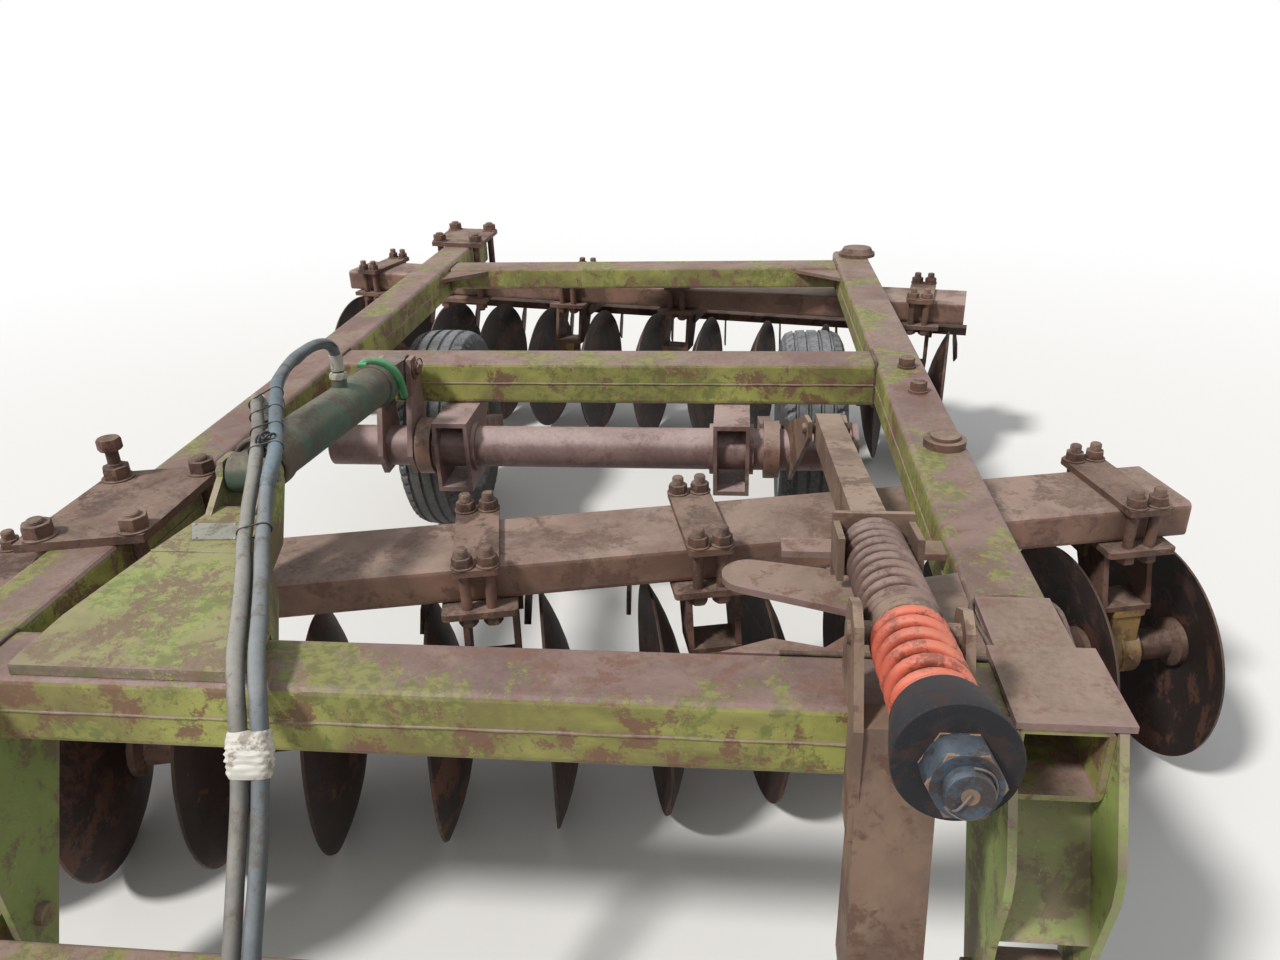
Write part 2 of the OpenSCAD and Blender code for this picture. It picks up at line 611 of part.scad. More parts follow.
// Tyre and rim about local X at the origin.
module tyre() {
    w = tyre_w / 2;
    r = tyre_d / 2;
    rotate([0, 90, 0]) rotate_extrude($fn = 96)
        polygon([[192, -w + 22], [200, -w + 12], [225, -w + 3], [262, -w], [r - 34, -w + 6], [r - 12, -w + 18],
            [r - 2, -w + 40], [r, -30], [r, 30], [r - 2, w - 40], [r - 12, w - 18], [r - 34, w - 6],
            [262, w], [225, w - 3], [200, w - 12], [192, w - 22]]);
}
module rim(side) {
    w = tyre_w / 2 - 22;
    inner = side > 0 ? 4 : -14;
    rotate([0, 90, 0]) difference() {
        rotate_extrude($fn = 72)
            polygon([[24, inner], [100, inner], [130, inner + side * 8], [176, inner], [182, -w], [191.7, -w],
                [191.7, w], [182, w], [176, inner + 10], [130, inner + 10 + side * 8], [100, inner + 10],
                [24, inner + 10]]);
        for (a = [0:72:359]) rotate([0, 0, a]) translate([152, 0, -60]) cylinder(d = 26, h = 120);
    }
    rotate([0, 90, 0]) difference() {
        union() {
            translate([0, 0, -46]) cylinder(d = 96, h = 92);
            translate([0, 0, side > 0 ? 46 : -60]) cylinder(d = 64, h = 14);
        }
        translate([0, 0, -70]) cylinder(d = 44.6, h = 140);
    }
}
module left_tyre() {
    color(black) translate([-wheel_x, wheel_y, tyre_d / 2]) tyre();
}
module right_tyre() {
    color(black) translate([wheel_x, wheel_y, tyre_d / 2]) tyre();
}
module left_rim() {
    color(ochre) translate([-wheel_x, wheel_y, tyre_d / 2]) rim(-1);
}
module right_rim() {
    color(ochre) translate([wheel_x, wheel_y, tyre_d / 2]) rim(1);
}

// Lift cylinder: barrel from its front eye, rod with a clevis eye.
module cyl_place() {
    translate([cyl_x, anchor_y, anchor_z]) rotate([cyl_ang, 0, 0]) children();
}
module cylinder_barrel() {
    color(green) cyl_place() {
        difference() {
            union() {
                rotate([-90, 0, 0]) translate([0, 0, 46]) cylinder(d = barrel_d, h = 606);
                rotate([-90, 0, 0]) translate([0, 0, 46]) cylinder(d = barrel_d + 10, h = 36);
                rotate([-90, 0, 0]) translate([0, 0, 632]) cylinder(d = barrel_d + 10, h = 40);
                rotate([0, 90, 0]) translate([0, 0, -28]) cylinder(d = 76, h = 56);
                translate([-28, 0, -30]) cube([56, 50, 60]);
            }
            rotate([0, 90, 0]) translate([0, 0, -40]) cylinder(d = 32.4, h = 80);
            rotate([-90, 0, 0]) translate([0, 0, 200]) cylinder(d = rod_d + 1, h = 500);
        }
        // Rear port points up; the front one stands out sideways and turns up.
        translate([0, 447, barrel_d / 2 - 6]) cylinder(d = 34, h = 22);
        translate([0, 447, barrel_d / 2 + 15]) cylinder(d = 26, h = 20.7);
        translate([-barrel_d / 2 - 29, 233, 0]) rotate([0, 90, 0]) cylinder(d = 30, h = 44);
        translate([-barrel_d / 2 - 29, 233, -15]) cylinder(d = 30, h = 64);
    }
}
module cylinder_rod() {
    color(steel) cyl_place() {
        difference() {
            union() {
                rotate([-90, 0, 0]) translate([0, 0, 330]) cylinder(d = rod_d, h = cyl_len - 330 - 20);
                rotate([0, 90, 0]) translate([0, cyl_len, -30]) cylinder(d = 76, h = 60);
                translate([-30, cyl_len - 84, -32]) cube([60, 60, 64]);
            }
            rotate([0, 90, 0]) translate([0, cyl_len, -40]) cylinder(d = 36, h = 80);
        }
    }
}

// Drawbar: hinged crossbar, long beam, brace and hitch clevis.
module drawbar() {
    color(green) {
        member_x(cross_y, hinge_z, cross_s, cross_s, 8, -cross_x, cross_x);
        for (sx = [-1, 1]) {
            difference() {
                union() {
                    bar_x(sx * post_x - 50, sx * post_x + 50, hinge_y, hinge_z, 70);
                    block([sx * post_x - 40, cross_y + cross_s / 2 - 6, hinge_z - 35],
                        [sx * post_x + 40, hinge_y - 10, hinge_z + 35]);
                }
                bar_x(sx * post_x - 60, sx * post_x + 60, hinge_y, hinge_z, 36.4);
            }
            bar_x(sx * post_x - 84, sx * post_x + 84, hinge_y, hinge_z, 36);
        }
        member_y(link_x, hinge_z, draw_s, draw_s, 8, hitch_y + 190, mast_y1 + 6);
        hull() {
            translate([-600, cross_y - cross_s / 2 - 16, hinge_z - 30]) cube([70, 20, 60]);
            translate([link_x - draw_s / 2 - 20, hinge_y - 1250, hinge_z - 30]) cube([21, 110, 60]);
        }
        // Hitch clevis.
        difference() {
            union() {
                for (z = [-44, 26]) translate([link_x, hitch_y, hinge_z + z]) {
                    cylinder(d = 100, h = 18);
                    translate([-45, 0, 0]) cube([90, 200, 18]);
                }
                block([link_x - 44, hitch_y + 130, hinge_z - 40], [link_x + 44, hitch_y + 200, hinge_z + 40]);
            }
            translate([link_x, hitch_y, hinge_z - 60]) cylinder(d = hitch_hole_d, h = 120);
        }
    }
}

// Mast on the drawbar with the trunnion plates.
module mast() {
    foot = hinge_z + draw_s / 2 + e;
    lean = [[mast_y1, foot], [-1552, foot], [-1484, 800], [-1437, 800]];
    cheek = [[-1506, 640], [mast_y1, 640], [-1437, 786], [-1348, 792], [-1350, 884], [-1370, 912],
        [-1400, 922], [-1432, 908], [-1492, 800]];
    tip = [[-1490, 690], [mast_y1, 690], [-1437, 790], [-1342, 796], [-1368, 900], [-1400, 916],
        [-1428, 900], [-1460, 830]];
    color(green) {
        translate([link_x - 62, 0, 0]) rotate([90, 0, 90]) linear_extrude(97) polygon(lean);
        block([link_x + 34, -1486, 690], [link_x + 64, mast_y1, 776]);
        difference() {
            union() {
                translate([link_x - 69, 0, 0]) rotate([90, 0, 90]) linear_extrude(12) polygon(cheek);
                translate([link_x + 63, 0, 0]) rotate([90, 0, 90]) linear_extrude(12) polygon(tip);
            }
            bar_x(link_x - 120, link_x + 120, trunnion_y, trunnion_z, 30.6);
        }
    }
}

// Parking jack beside the drawbar.
module jack_tube() {
    color(steel) {
        difference() {
            translate([jack_x, jack_y, 190]) cylinder(d = 64, h = 420);
            translate([jack_x, jack_y, 100]) cylinder(d = 52, h = 480);
        }
        block([link_x + draw_s / 2 + e, jack_y - 40, hinge_z - 40], [jack_x - 31, jack_y + 40, hinge_z + 40]);
        translate([jack_x, jack_y, 609]) cylinder(d = 74, h = 40);
        bar_x(jack_x, jack_x + 120, jack_y, 630, 16);
        translate([jack_x + 112, jack_y, 560]) cylinder(d = 16, h = 78);
        translate([jack_x + 112, jack_y, 470]) cylinder(d = 26, h = 92);
    }
}
module jack_leg() {
    color(steel) {
        translate([jack_x, jack_y, 8]) cylinder(d = 50, h = 330);
        translate([jack_x, jack_y, 0]) cylinder(d = 160, h = 10);
    }
}

// Levelling link: box bar with a saddle on its end, rod, trunnion collar, cup and nut.
module link_place() {
    translate([link_x, trunnion_y, trunnion_z]) rotate([link_ang, 0, 0]) children();
}
module along(y0, y1, d, d2 = 0) {
    translate([0, y0, 0]) rotate([-90, 0, 0]) cylinder(d1 = d, d2 = d2 > 0 ? d2 : d, h = y1 - y0);
}
module link_bar() {
    seat = spring_end + 10;
    color(green) link_place() {
        difference() {
            union() {
                bar_x(-28, 28, link_len, 0, 70);
                translate([-28, seat + 12, -35]) cube([56, link_len - seat - 12, 70]);
            }
            bar_x(-40, 40, link_len, 0, 34);
        }
        translate([-62, seat, -50]) cube([124, 14, 102]);
        for (x = [-62, 52]) translate([x, seat - 86, -26]) cube([10, 90, 66]);
        along(-345, seat + 14, 44);
        along(-16, 16, 92);
        bar_x(-74, 80, 0, 0, 30);
        along(-289, -212, 126, 104);
        translate([0, -330, 0]) rotate([-90, 0, 0]) cylinder(d = 74, h = 42, $fn = 6);
    }
}

// Two coil springs on the link's rod.
module coil(y0, y1, turns, d, wire) {
    n = 14;
    steps = turns * n;
    path = [for (i = [0:steps])
        [d / 2 * cos(360 * i / n), y0 + (y1 - y0) * i / steps, d / 2 * sin(360 * i / n)]];
    sweep(path, wire / 2, 8, [0, 1, 0]);
}
module link_springs() {
    color(orange) link_place() {
        coil(-203.2, -24.8, 7, 82, 17);
        coil(24.8, spring_end + 1.2, 11, 82, 17);
    }
}

// Free hydraulic hoses, their coils on the ground and the couplers on their ends.
module hose(route, tail_x) {
    sweep(route, hose_r, 8, [1, 0, 0]);
    sweep([for (t = tail_run) [tail_x, coil_y - t[0], t[1]]], hose_r, 8, [1, 0, 0]);
}
module hose_coil(x) {
    translate([x, coil_y, 0.5]) rotate_extrude() translate([coil_r, 25]) polygon(rrect(74, 50, 10));
}
module coupler(x) {
    translate([x, coil_y - 205 - e, 17]) rotate([90, 0, 0]) {
        cylinder(d = 33, h = 26, $fn = 6);
        translate([0, 0, 25]) cylinder(d = 26, h = 40);
        translate([0, 0, 64]) cylinder(d = 20, h = 16);
    }
}
module grey_hose() {
    color(hose_grey) hose(grey_route, grey_tail_x);
}
module pale_hose() {
    color(hose_grey) hose(pale_route, pale_tail_x);
}
module grey_coil() {
    color(hose_grey) hose_coil(grey_coil_x);
}
module pale_coil() {
    color(hose_grey) hose_coil(pale_coil_x);
}
module hose_couplers() {
    color(steel) {
        coupler(grey_tail_x);
        coupler(pale_tail_x);
    }
}

placed() main_frame();
placed() frame_plates();
placed() frame_bolts();
placed() front_beam();
placed() rear_beam();
placed() front_clamps();
placed() rear_clamps();
placed() front_hanger_frames();
placed() rear_hanger_frames();
placed() front_bearings();
placed() rear_bearings();
placed() front_scrapers();
placed() rear_scrapers();
placed() draw_posts();
placed() cylinder_bracket();
placed() shaft_hangers();
placed() front_left_discs();
placed() front_left_axle();
placed() front_right_discs();
placed() front_right_axle();
placed() rear_left_discs();
placed() rear_left_axle();
placed() rear_right_discs();
placed() rear_right_axle();
placed() rockshaft_tube();
placed() wheel_arms();
placed() crank_arm();
placed() level_arm();
placed() left_tyre();
placed() left_rim();
placed() right_tyre();
placed() right_rim();
placed() cylinder_barrel();
placed() cylinder_rod();
placed() drawbar();
placed() mast();
placed() jack_tube();
placed() jack_leg();
placed() link_bar();
placed() link_springs();
placed() grey_hose();
placed() pale_hose();
placed() grey_coil();
placed() pale_coil();
placed() hose_couplers();
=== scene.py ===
"""Looks of a trailed offset disc harrow: finishes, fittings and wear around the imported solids.

Everything is in metres, in the part's own frame: +Y runs rearward from the hitch, +X to the
right of someone who stands at the hitch and looks at the machine, +Z is up.
"""

import json
import logging
import math
from dataclasses import dataclass, replace
from enum import Enum
from typing import ClassVar, Sequence

import bpy
import numpy as np
from mathutils import Matrix, Vector

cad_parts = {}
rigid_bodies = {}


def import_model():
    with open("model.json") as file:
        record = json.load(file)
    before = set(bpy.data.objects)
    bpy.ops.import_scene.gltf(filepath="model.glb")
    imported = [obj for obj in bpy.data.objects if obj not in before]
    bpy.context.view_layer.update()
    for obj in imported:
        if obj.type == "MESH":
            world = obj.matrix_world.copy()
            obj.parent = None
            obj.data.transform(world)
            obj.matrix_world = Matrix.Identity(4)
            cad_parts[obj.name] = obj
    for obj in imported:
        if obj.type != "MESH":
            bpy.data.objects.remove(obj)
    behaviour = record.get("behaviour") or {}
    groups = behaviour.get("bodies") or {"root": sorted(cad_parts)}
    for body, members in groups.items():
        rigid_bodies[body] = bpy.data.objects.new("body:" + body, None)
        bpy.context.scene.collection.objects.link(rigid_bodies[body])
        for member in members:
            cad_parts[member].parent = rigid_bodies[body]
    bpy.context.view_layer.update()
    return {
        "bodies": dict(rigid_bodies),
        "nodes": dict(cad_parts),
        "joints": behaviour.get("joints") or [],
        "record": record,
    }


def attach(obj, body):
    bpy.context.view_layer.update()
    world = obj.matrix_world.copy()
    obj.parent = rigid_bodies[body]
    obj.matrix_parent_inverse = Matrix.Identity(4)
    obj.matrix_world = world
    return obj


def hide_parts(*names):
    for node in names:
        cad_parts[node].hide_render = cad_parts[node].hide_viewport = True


LOG = logging.getLogger("disc_harrow")
# The zero of the machine's drawing lies this far rearward of the part's own.
SHIFT_Y = 0.909
TAU = 2.0 * math.pi
UP = np.array([0.0, 0.0, 1.0])
RIGHT = np.array([1.0, 0.0, 0.0])
Points = np.ndarray
Colour = tuple[float, float, float, float]
Socket = bpy.types.NodeSocket


def hexed(code: str) -> Colour:
    """A colour in linear light from its six-digit web code.

    Args:
        code: six hexadecimal digits, two for each of red, green and blue.

    Returns:
        Red, green, blue and an alpha of one.
    """
    raw = np.array([int(code[i : i + 2], 16) / 255 for i in (0, 2, 4)])
    linear = np.where(raw <= 0.04045, raw / 12.92, ((raw + 0.055) / 1.055) ** 2.4)
    return (float(linear[0]), float(linear[1]), float(linear[2]), 1.0)


def metres(points: Sequence[Sequence[float]]) -> Points:
    """Points of the machine's drawing, in millimetres, carried into the part's frame."""
    return np.asarray(points, float) / 1000.0 + np.array([0.0, SHIFT_Y, 0.0])


class Graph:
    """Adds nodes to one node tree and joins them."""

    def __init__(self, tree: bpy.types.NodeTree) -> None:
        """Keeps the tree that the nodes go into."""
        self.tree = tree

    def put(self, socket: Socket, value: object) -> None:
        """Joins value to socket, or sets it there when it is a plain value.

        Args:
            socket: an input of a node.
            value: an output of another node, or a plain value.
        """
        if isinstance(value, Socket):
            self.tree.links.new(value, socket)
        else:
            socket.default_value = value

    def node(self, kind: str, inputs: dict | None = None, **settings: object) -> bpy.types.Node:
        """Makes a node.

        Args:
            kind: Blender's name of the node type.
            inputs: values or sockets for its inputs, by name or number.
            settings: attributes of the node.

        Returns:
            The node.
        """
        made = self.tree.nodes.new(kind)
        for name, value in settings.items():
            setattr(made, name, value)
        for name, value in (inputs or {}).items():
            self.put(made.inputs[name], value)
        return made

    def calc(self, operation: str, *values: object, clamp: bool = False) -> Socket:
        """A Math node's result for the given operation and values."""
        inputs = dict(enumerate(values))
        return self.node("ShaderNodeMath", inputs, operation=operation, use_clamp=clamp).outputs[0]

    def mix(self, factor: object, low: object, high: object) -> Socket:
        """The mix of two colours by a factor.

        Args:
            factor: none for the first colour, one for the second.
            low: the first colour.
            high: the second colour.

        Returns:
            The mixed colour.
        """
        made = self.node("ShaderNodeMix", data_type="RGBA")
        for index, value in ((0, factor), (6, low), (7, high)):
            self.put(made.inputs[index], value)
        return made.outputs[2]

    def span(self, value: object, low: object, high: object, start: float = 0.0, end: float = 1.0) -> Socket:
        """Value carried from low..high to start..end, smoothly and held at both ends."""
        inputs = {0: value, 1: low, 2: high, 3: start, 4: end}
        return self.node("ShaderNodeMapRange", inputs, interpolation_type="SMOOTHSTEP").outputs[0]

    def noise(
        self, place: object, scale: object, detail: float = 4.0, rough: float = 0.55, bend: float = 0.0
    ) -> Socket:
        """The grey value of a noise texture."""
        inputs = {"Vector": place, "Scale": scale, "Detail": detail, "Roughness": rough, "Distortion": bend}
        return self.node("ShaderNodeTexNoise", inputs).outputs[0]

    def use(self, tree: bpy.types.NodeTree, place: Socket, **values: object) -> bpy.types.Node:
        """A shared group with its place joined and its values set.

        Args:
            tree: the group's tree.
            place: where on the piece it is read.
            values: its numbers, by their names.

        Returns:
            The group's node.
        """
        made = self.node("ShaderNodeGroup", node_tree=tree)
        self.put(made.inputs["Place"], place)
        for label, value in values.items():
            self.put(made.inputs[label], value)
        return made

    def seen(self) -> Socket:
        """One for rays from the camera, off gloss or through glass, which meet the backdrop's own white.

        Returns:
            The mask.
        """
        rays = self.node("ShaderNodeLightPath").outputs
        bent = self.calc("MAXIMUM", rays["Is Glossy Ray"], rays["Is Transmission Ray"])
        return self.calc("MAXIMUM", rays["Is Camera Ray"], bent)


class Effects:
    """The shader groups that several finishes share, each built once."""

    def __init__(self) -> None:
        """Builds every group."""
        self.patches = self._patches()
        self.upward = self._upward()
        self.edge_wear_highlight = self._edge_wear_highlight()
        self.specks = self._specks()
        self.grit = self._grit()

    @staticmethod
    def _group(
        name: str, inputs: dict[str, float], outputs: Sequence[str]
    ) -> tuple[Graph, dict[str, Socket], bpy.types.Node]:
        """Starts a group that takes a place and some numbers and gives masks.

        Args:
            name: the group's name.
            inputs: first value of each number that it takes.
            outputs: names of the values that it gives.

        Returns:
            Its graph, its input sockets by name and its output node.
        """
        tree = bpy.data.node_groups.new(name, "ShaderNodeTree")
        tree.interface.new_socket("Place", in_out="INPUT", socket_type="NodeSocketVector")
        for label, value in inputs.items():
            made = tree.interface.new_socket(label, in_out="INPUT", socket_type="NodeSocketFloat")
            made.default_value = value
        for label in outputs:
            tree.interface.new_socket(label, in_out="OUTPUT", socket_type="NodeSocketFloat")
        graph = Graph(tree)
        source = graph.node("NodeGroupInput")
        return graph, {s.name: s for s in source.outputs}, graph.node("NodeGroupOutput")

    def _patches(self) -> bpy.types.NodeTree:
        """Blotches with broken borders: a wide noise whose level a fine noise moves.

        Returns:
            The group's tree.
        """
        g, got, out = self._group("patches", {"Scale": 5.0, "Cover": 0.5, "Edge": 0.05}, ["Mask"])
        wide = g.noise(got["Place"], got["Scale"], 6, 0.62, 0.4)
        fine = g.noise(got["Place"], g.calc("MULTIPLY", got["Scale"], 9.0), 4, 0.72)
        both = g.calc("ADD", wide, g.calc("MULTIPLY", g.calc("SUBTRACT", fine, 0.5), 0.34))
        level = g.calc("SUBTRACT", 0.66, g.calc("MULTIPLY", got["Cover"], 0.32))
        low = g.calc("SUBTRACT", level, got["Edge"])
        g.put(out.inputs["Mask"], g.span(both, low, g.calc("ADD", level, got["Edge"])))
        return g.tree

    def _upward(self) -> bpy.types.NodeTree:
        """What faces up: the normal's height, with a border that a noise breaks.

        Returns:
            The group's tree.
        """
        g, got, out = self._group("upward", {"Break": 0.35}, ["Mask"])
        facing = g.node("ShaderNodeTexCoord").outputs["Normal"]
        up = g.node("ShaderNodeSeparateXYZ", {0: facing}).outputs[2]
        ragged = g.calc("SUBTRACT", g.noise(got["Place"], 14.0, 5, 0.7), 0.5)
        broken = g.calc("MULTIPLY", ragged, got["Break"])
        g.put(out.inputs["Mask"], g.span(g.calc("ADD", up, broken), 0.28, 0.72))
        return g.tree

    def _edge_wear_highlight(self) -> bpy.types.NodeTree:
        """Edges rubbed down to the metal, and on wide bands a painted highlight along rounded corners: how
        far a rounded normal leaves the true one, broken by noise.

        Returns:
            The group's tree.
        """
        g, got, out = self._group("edge_wear_and_painted_highlight", {"Width": 0.006}, ["Mask"])
        round_normal = g.node("ShaderNodeBevel", {"Radius": got["Width"]}, samples=3).outputs[0]
        true_normal = g.node("ShaderNodeNewGeometry").outputs["Normal"]
        inputs = {0: round_normal, 1: true_normal}
        same = g.node("ShaderNodeVectorMath", inputs, operation="DOT_PRODUCT").outputs["Value"]
        rub = g.span(g.noise(got["Place"], 24.0, 5, 0.7), 0.38, 0.6)
        g.put(out.inputs["Mask"], g.calc("MULTIPLY", g.span(same, 0.995, 0.88), rub, clamp=True))
        return g.tree

    def _specks(self) -> bpy.types.NodeTree:
        """Lichen: fine specks in drifts, kept where a wide noise is high, and a second tone.

        Returns:
            The group's tree.
        """
        g, got, out = self._group("specks", {"Amount": 0.5, "Scale": 210.0}, ["Mask", "Tint"])
        drift = g.span(g.noise(got["Place"], 5.0, 4, 0.62, 0.5), 0.40, 0.66)
        clump = g.noise(got["Place"], 42.0, 5, 0.75)
        speck = g.noise(got["Place"], got["Scale"], 4, 0.8)
        sum_up = g.calc("ADD", g.calc("MULTIPLY", speck, 0.5), g.calc("MULTIPLY", clump, 0.5))
        cover = g.calc("MULTIPLY", g.calc("MULTIPLY", drift, got["Amount"]), 0.22)
        level = g.calc("SUBTRACT", 0.63, cover)
        g.put(out.inputs["Mask"], g.span(sum_up, level, g.calc("ADD", level, 0.05)))
        g.put(out.inputs["Tint"], g.span(g.noise(got["Place"], 60.0, 3, 0.6), 0.4, 0.6))
        return g.tree

    def _grit(self) -> bpy.types.NodeTree:
        """Height of a rusted or dusty skin: noises of falling size.

        Returns:
            The group's tree.
        """
        g, got, out = self._group("grit", {"Fine": 0.5, "Coarse": 0.5}, ["Height"])
        fine = g.calc("MULTIPLY", g.noise(got["Place"], 380.0, 3, 0.65), got["Fine"])
        mid = g.calc("MULTIPLY", g.noise(got["Place"], 75.0, 4, 0.65), got["Coarse"])
        wide = g.calc("MULTIPLY", g.noise(got["Place"], 12.0, 3, 0.5), got["Coarse"])
        g.put(out.inputs["Height"], g.calc("ADD", g.calc("ADD", fine, mid), wide))
        return g.tree


@dataclass(frozen=True)
class Weathered:
    """A skin that has stood outside: side and top tones, rust patches, specks, dust, and rubbed edges whose
    wide bands are partly a painted highlight.
    """

    name: str
    side: str
    side_deep: str
    top: str
    top_deep: str
    patch: str
    patch_cover: float = 0.4
    patch_scale: float = 6.0
    dust: str = "b09e90"
    dust_amount: float = 0.5
    speck: str = "8b8a4c"
    speck_deep: str = "6b6f3c"
    speck_amount: float = 0.0
    edge: str = "8f7468"
    edge_amount: float = 0.0
    edge_width: float = 0.006
    rough: float = 0.78
    metal: float = 0.0
    relief: float = 0.4

    tone_scale: ClassVar[float] = 3.4
    cloud_scale: ClassVar[float] = 2.3
    grain_scale: ClassVar[float] = 95.0
    patch_depth: ClassVar[float] = 0.88
    speck_depth: ClassVar[float] = 0.85
    dust_on_sides: ClassVar[float] = 0.18
    dust_dulls: ClassVar[float] = 0.15
    wear_and_highlight_shines: ClassVar[float] = 0.25
    bump_depth: ClassVar[float] = 0.0015

    def build(self, effects: Effects) -> bpy.types.Material:
        """Builds the material.

        Args:
            effects: the shared shader groups.

        Returns:
            The material.
        """
        material = bpy.data.materials.new(self.name)
        material.use_nodes = True
        g = Graph(material.node_tree)
        shader = material.node_tree.nodes["Principled BSDF"]
        place = g.node("ShaderNodeTexCoord").outputs["Object"]
        up = g.use(effects.upward, place).outputs["Mask"]
        tone = g.span(g.noise(place, self.tone_scale, 6, 0.64, 0.5), 0.36, 0.64)
        side = g.mix(tone, hexed(self.side_deep), hexed(self.side))
        top = g.mix(tone, hexed(self.top_deep), hexed(self.top))
        colour = g.mix(up, side, top)
        spread = {"Scale": self.patch_scale, "Cover": self.patch_cover}
        patches = g.use(effects.patches, place, **spread).outputs["Mask"]
        colour = g.mix(g.calc("MULTIPLY", patches, self.patch_depth), colour, hexed(self.patch))
        cloud = g.span(g.noise(place, self.cloud_scale, 6, 0.7, 0.4), 0.34, 0.66, 0.15, 1.0)
        grain = g.span(g.noise(place, self.grain_scale, 5, 0.72), 0.3, 0.66, 0.35, 1.0)
        lying = g.calc("ADD", g.calc("MULTIPLY", up, 1.0 - self.dust_on_sides), self.dust_on_sides)
        held = g.calc("MULTIPLY", lying, self.dust_amount)
        dusty = g.calc("MULTIPLY", g.calc("MULTIPLY", cloud, grain), held, clamp=True)
        colour = g.mix(dusty, colour, hexed(self.dust))
        if self.speck_amount > 0:
            growth = g.use(effects.specks, place, Amount=self.speck_amount).outputs
            tint = g.mix(growth["Tint"], hexed(self.speck_deep), hexed(self.speck))
            colour = g.mix(g.calc("MULTIPLY", growth["Mask"], self.speck_depth), colour, tint)
        gloss = g.calc("ADD", self.rough, g.calc("MULTIPLY", dusty, self.dust_dulls))
        # Rubbed edges in the edge colour; where the band is wide, as on the frame and gang beams, it is
        # partly a painted highlight along the rounded corners.
        if self.edge_amount > 0:
            rubbed_and_highlit = g.use(effects.edge_wear_highlight, place, Width=self.edge_width).outputs["Mask"]
            wear_and_highlight = g.calc("MULTIPLY", rubbed_and_highlit, self.edge_amount)
            colour = g.mix(wear_and_highlight, colour, hexed(self.edge))
            gloss = g.calc("SUBTRACT", gloss, g.calc("MULTIPLY", wear_and_highlight, self.wear_and_highlight_shines))
        g.put(shader.inputs["Base Color"], colour)
        g.put(shader.inputs["Roughness"], g.calc("MINIMUM", gloss, 1.0))
        if self.metal > 0:
            clean = g.calc("SUBTRACT", 1.0, dusty)
            g.put(shader.inputs["Metallic"], g.calc("MULTIPLY", clean, self.metal))
        grit = g.use(effects.grit, place, Fine=0.5, Coarse=0.8).outputs["Height"]
        height = g.calc("SUBTRACT", grit, g.calc("MULTIPLY", patches, 0.45))
        bump = {"Strength": self.relief, "Distance": self.bump_depth, "Height": height}
        g.put(shader.inputs["Normal"], g.node("ShaderNodeBump", bump).outputs[0])
        return material


# A finish lists its name, side and second tone, top and second tone, patch with its cover and scale, and
# dust with its amount.
FRAME_PAINT = Weathered(
    "frame_green", "a2a255", "736c3c", "8a6f65", "68504a", "714d3f", 0.34, 17.0, "ac9a8a", 0.45,
    # edge: a wide mauve band along the rounded corners, partly rubbed paint and partly a painted highlight,
    # kept by the finishes made from this one.
    speck_amount=1.15, edge="96767a", edge_amount=0.85, edge_width=0.015, rough=0.62, relief=0.5,
)


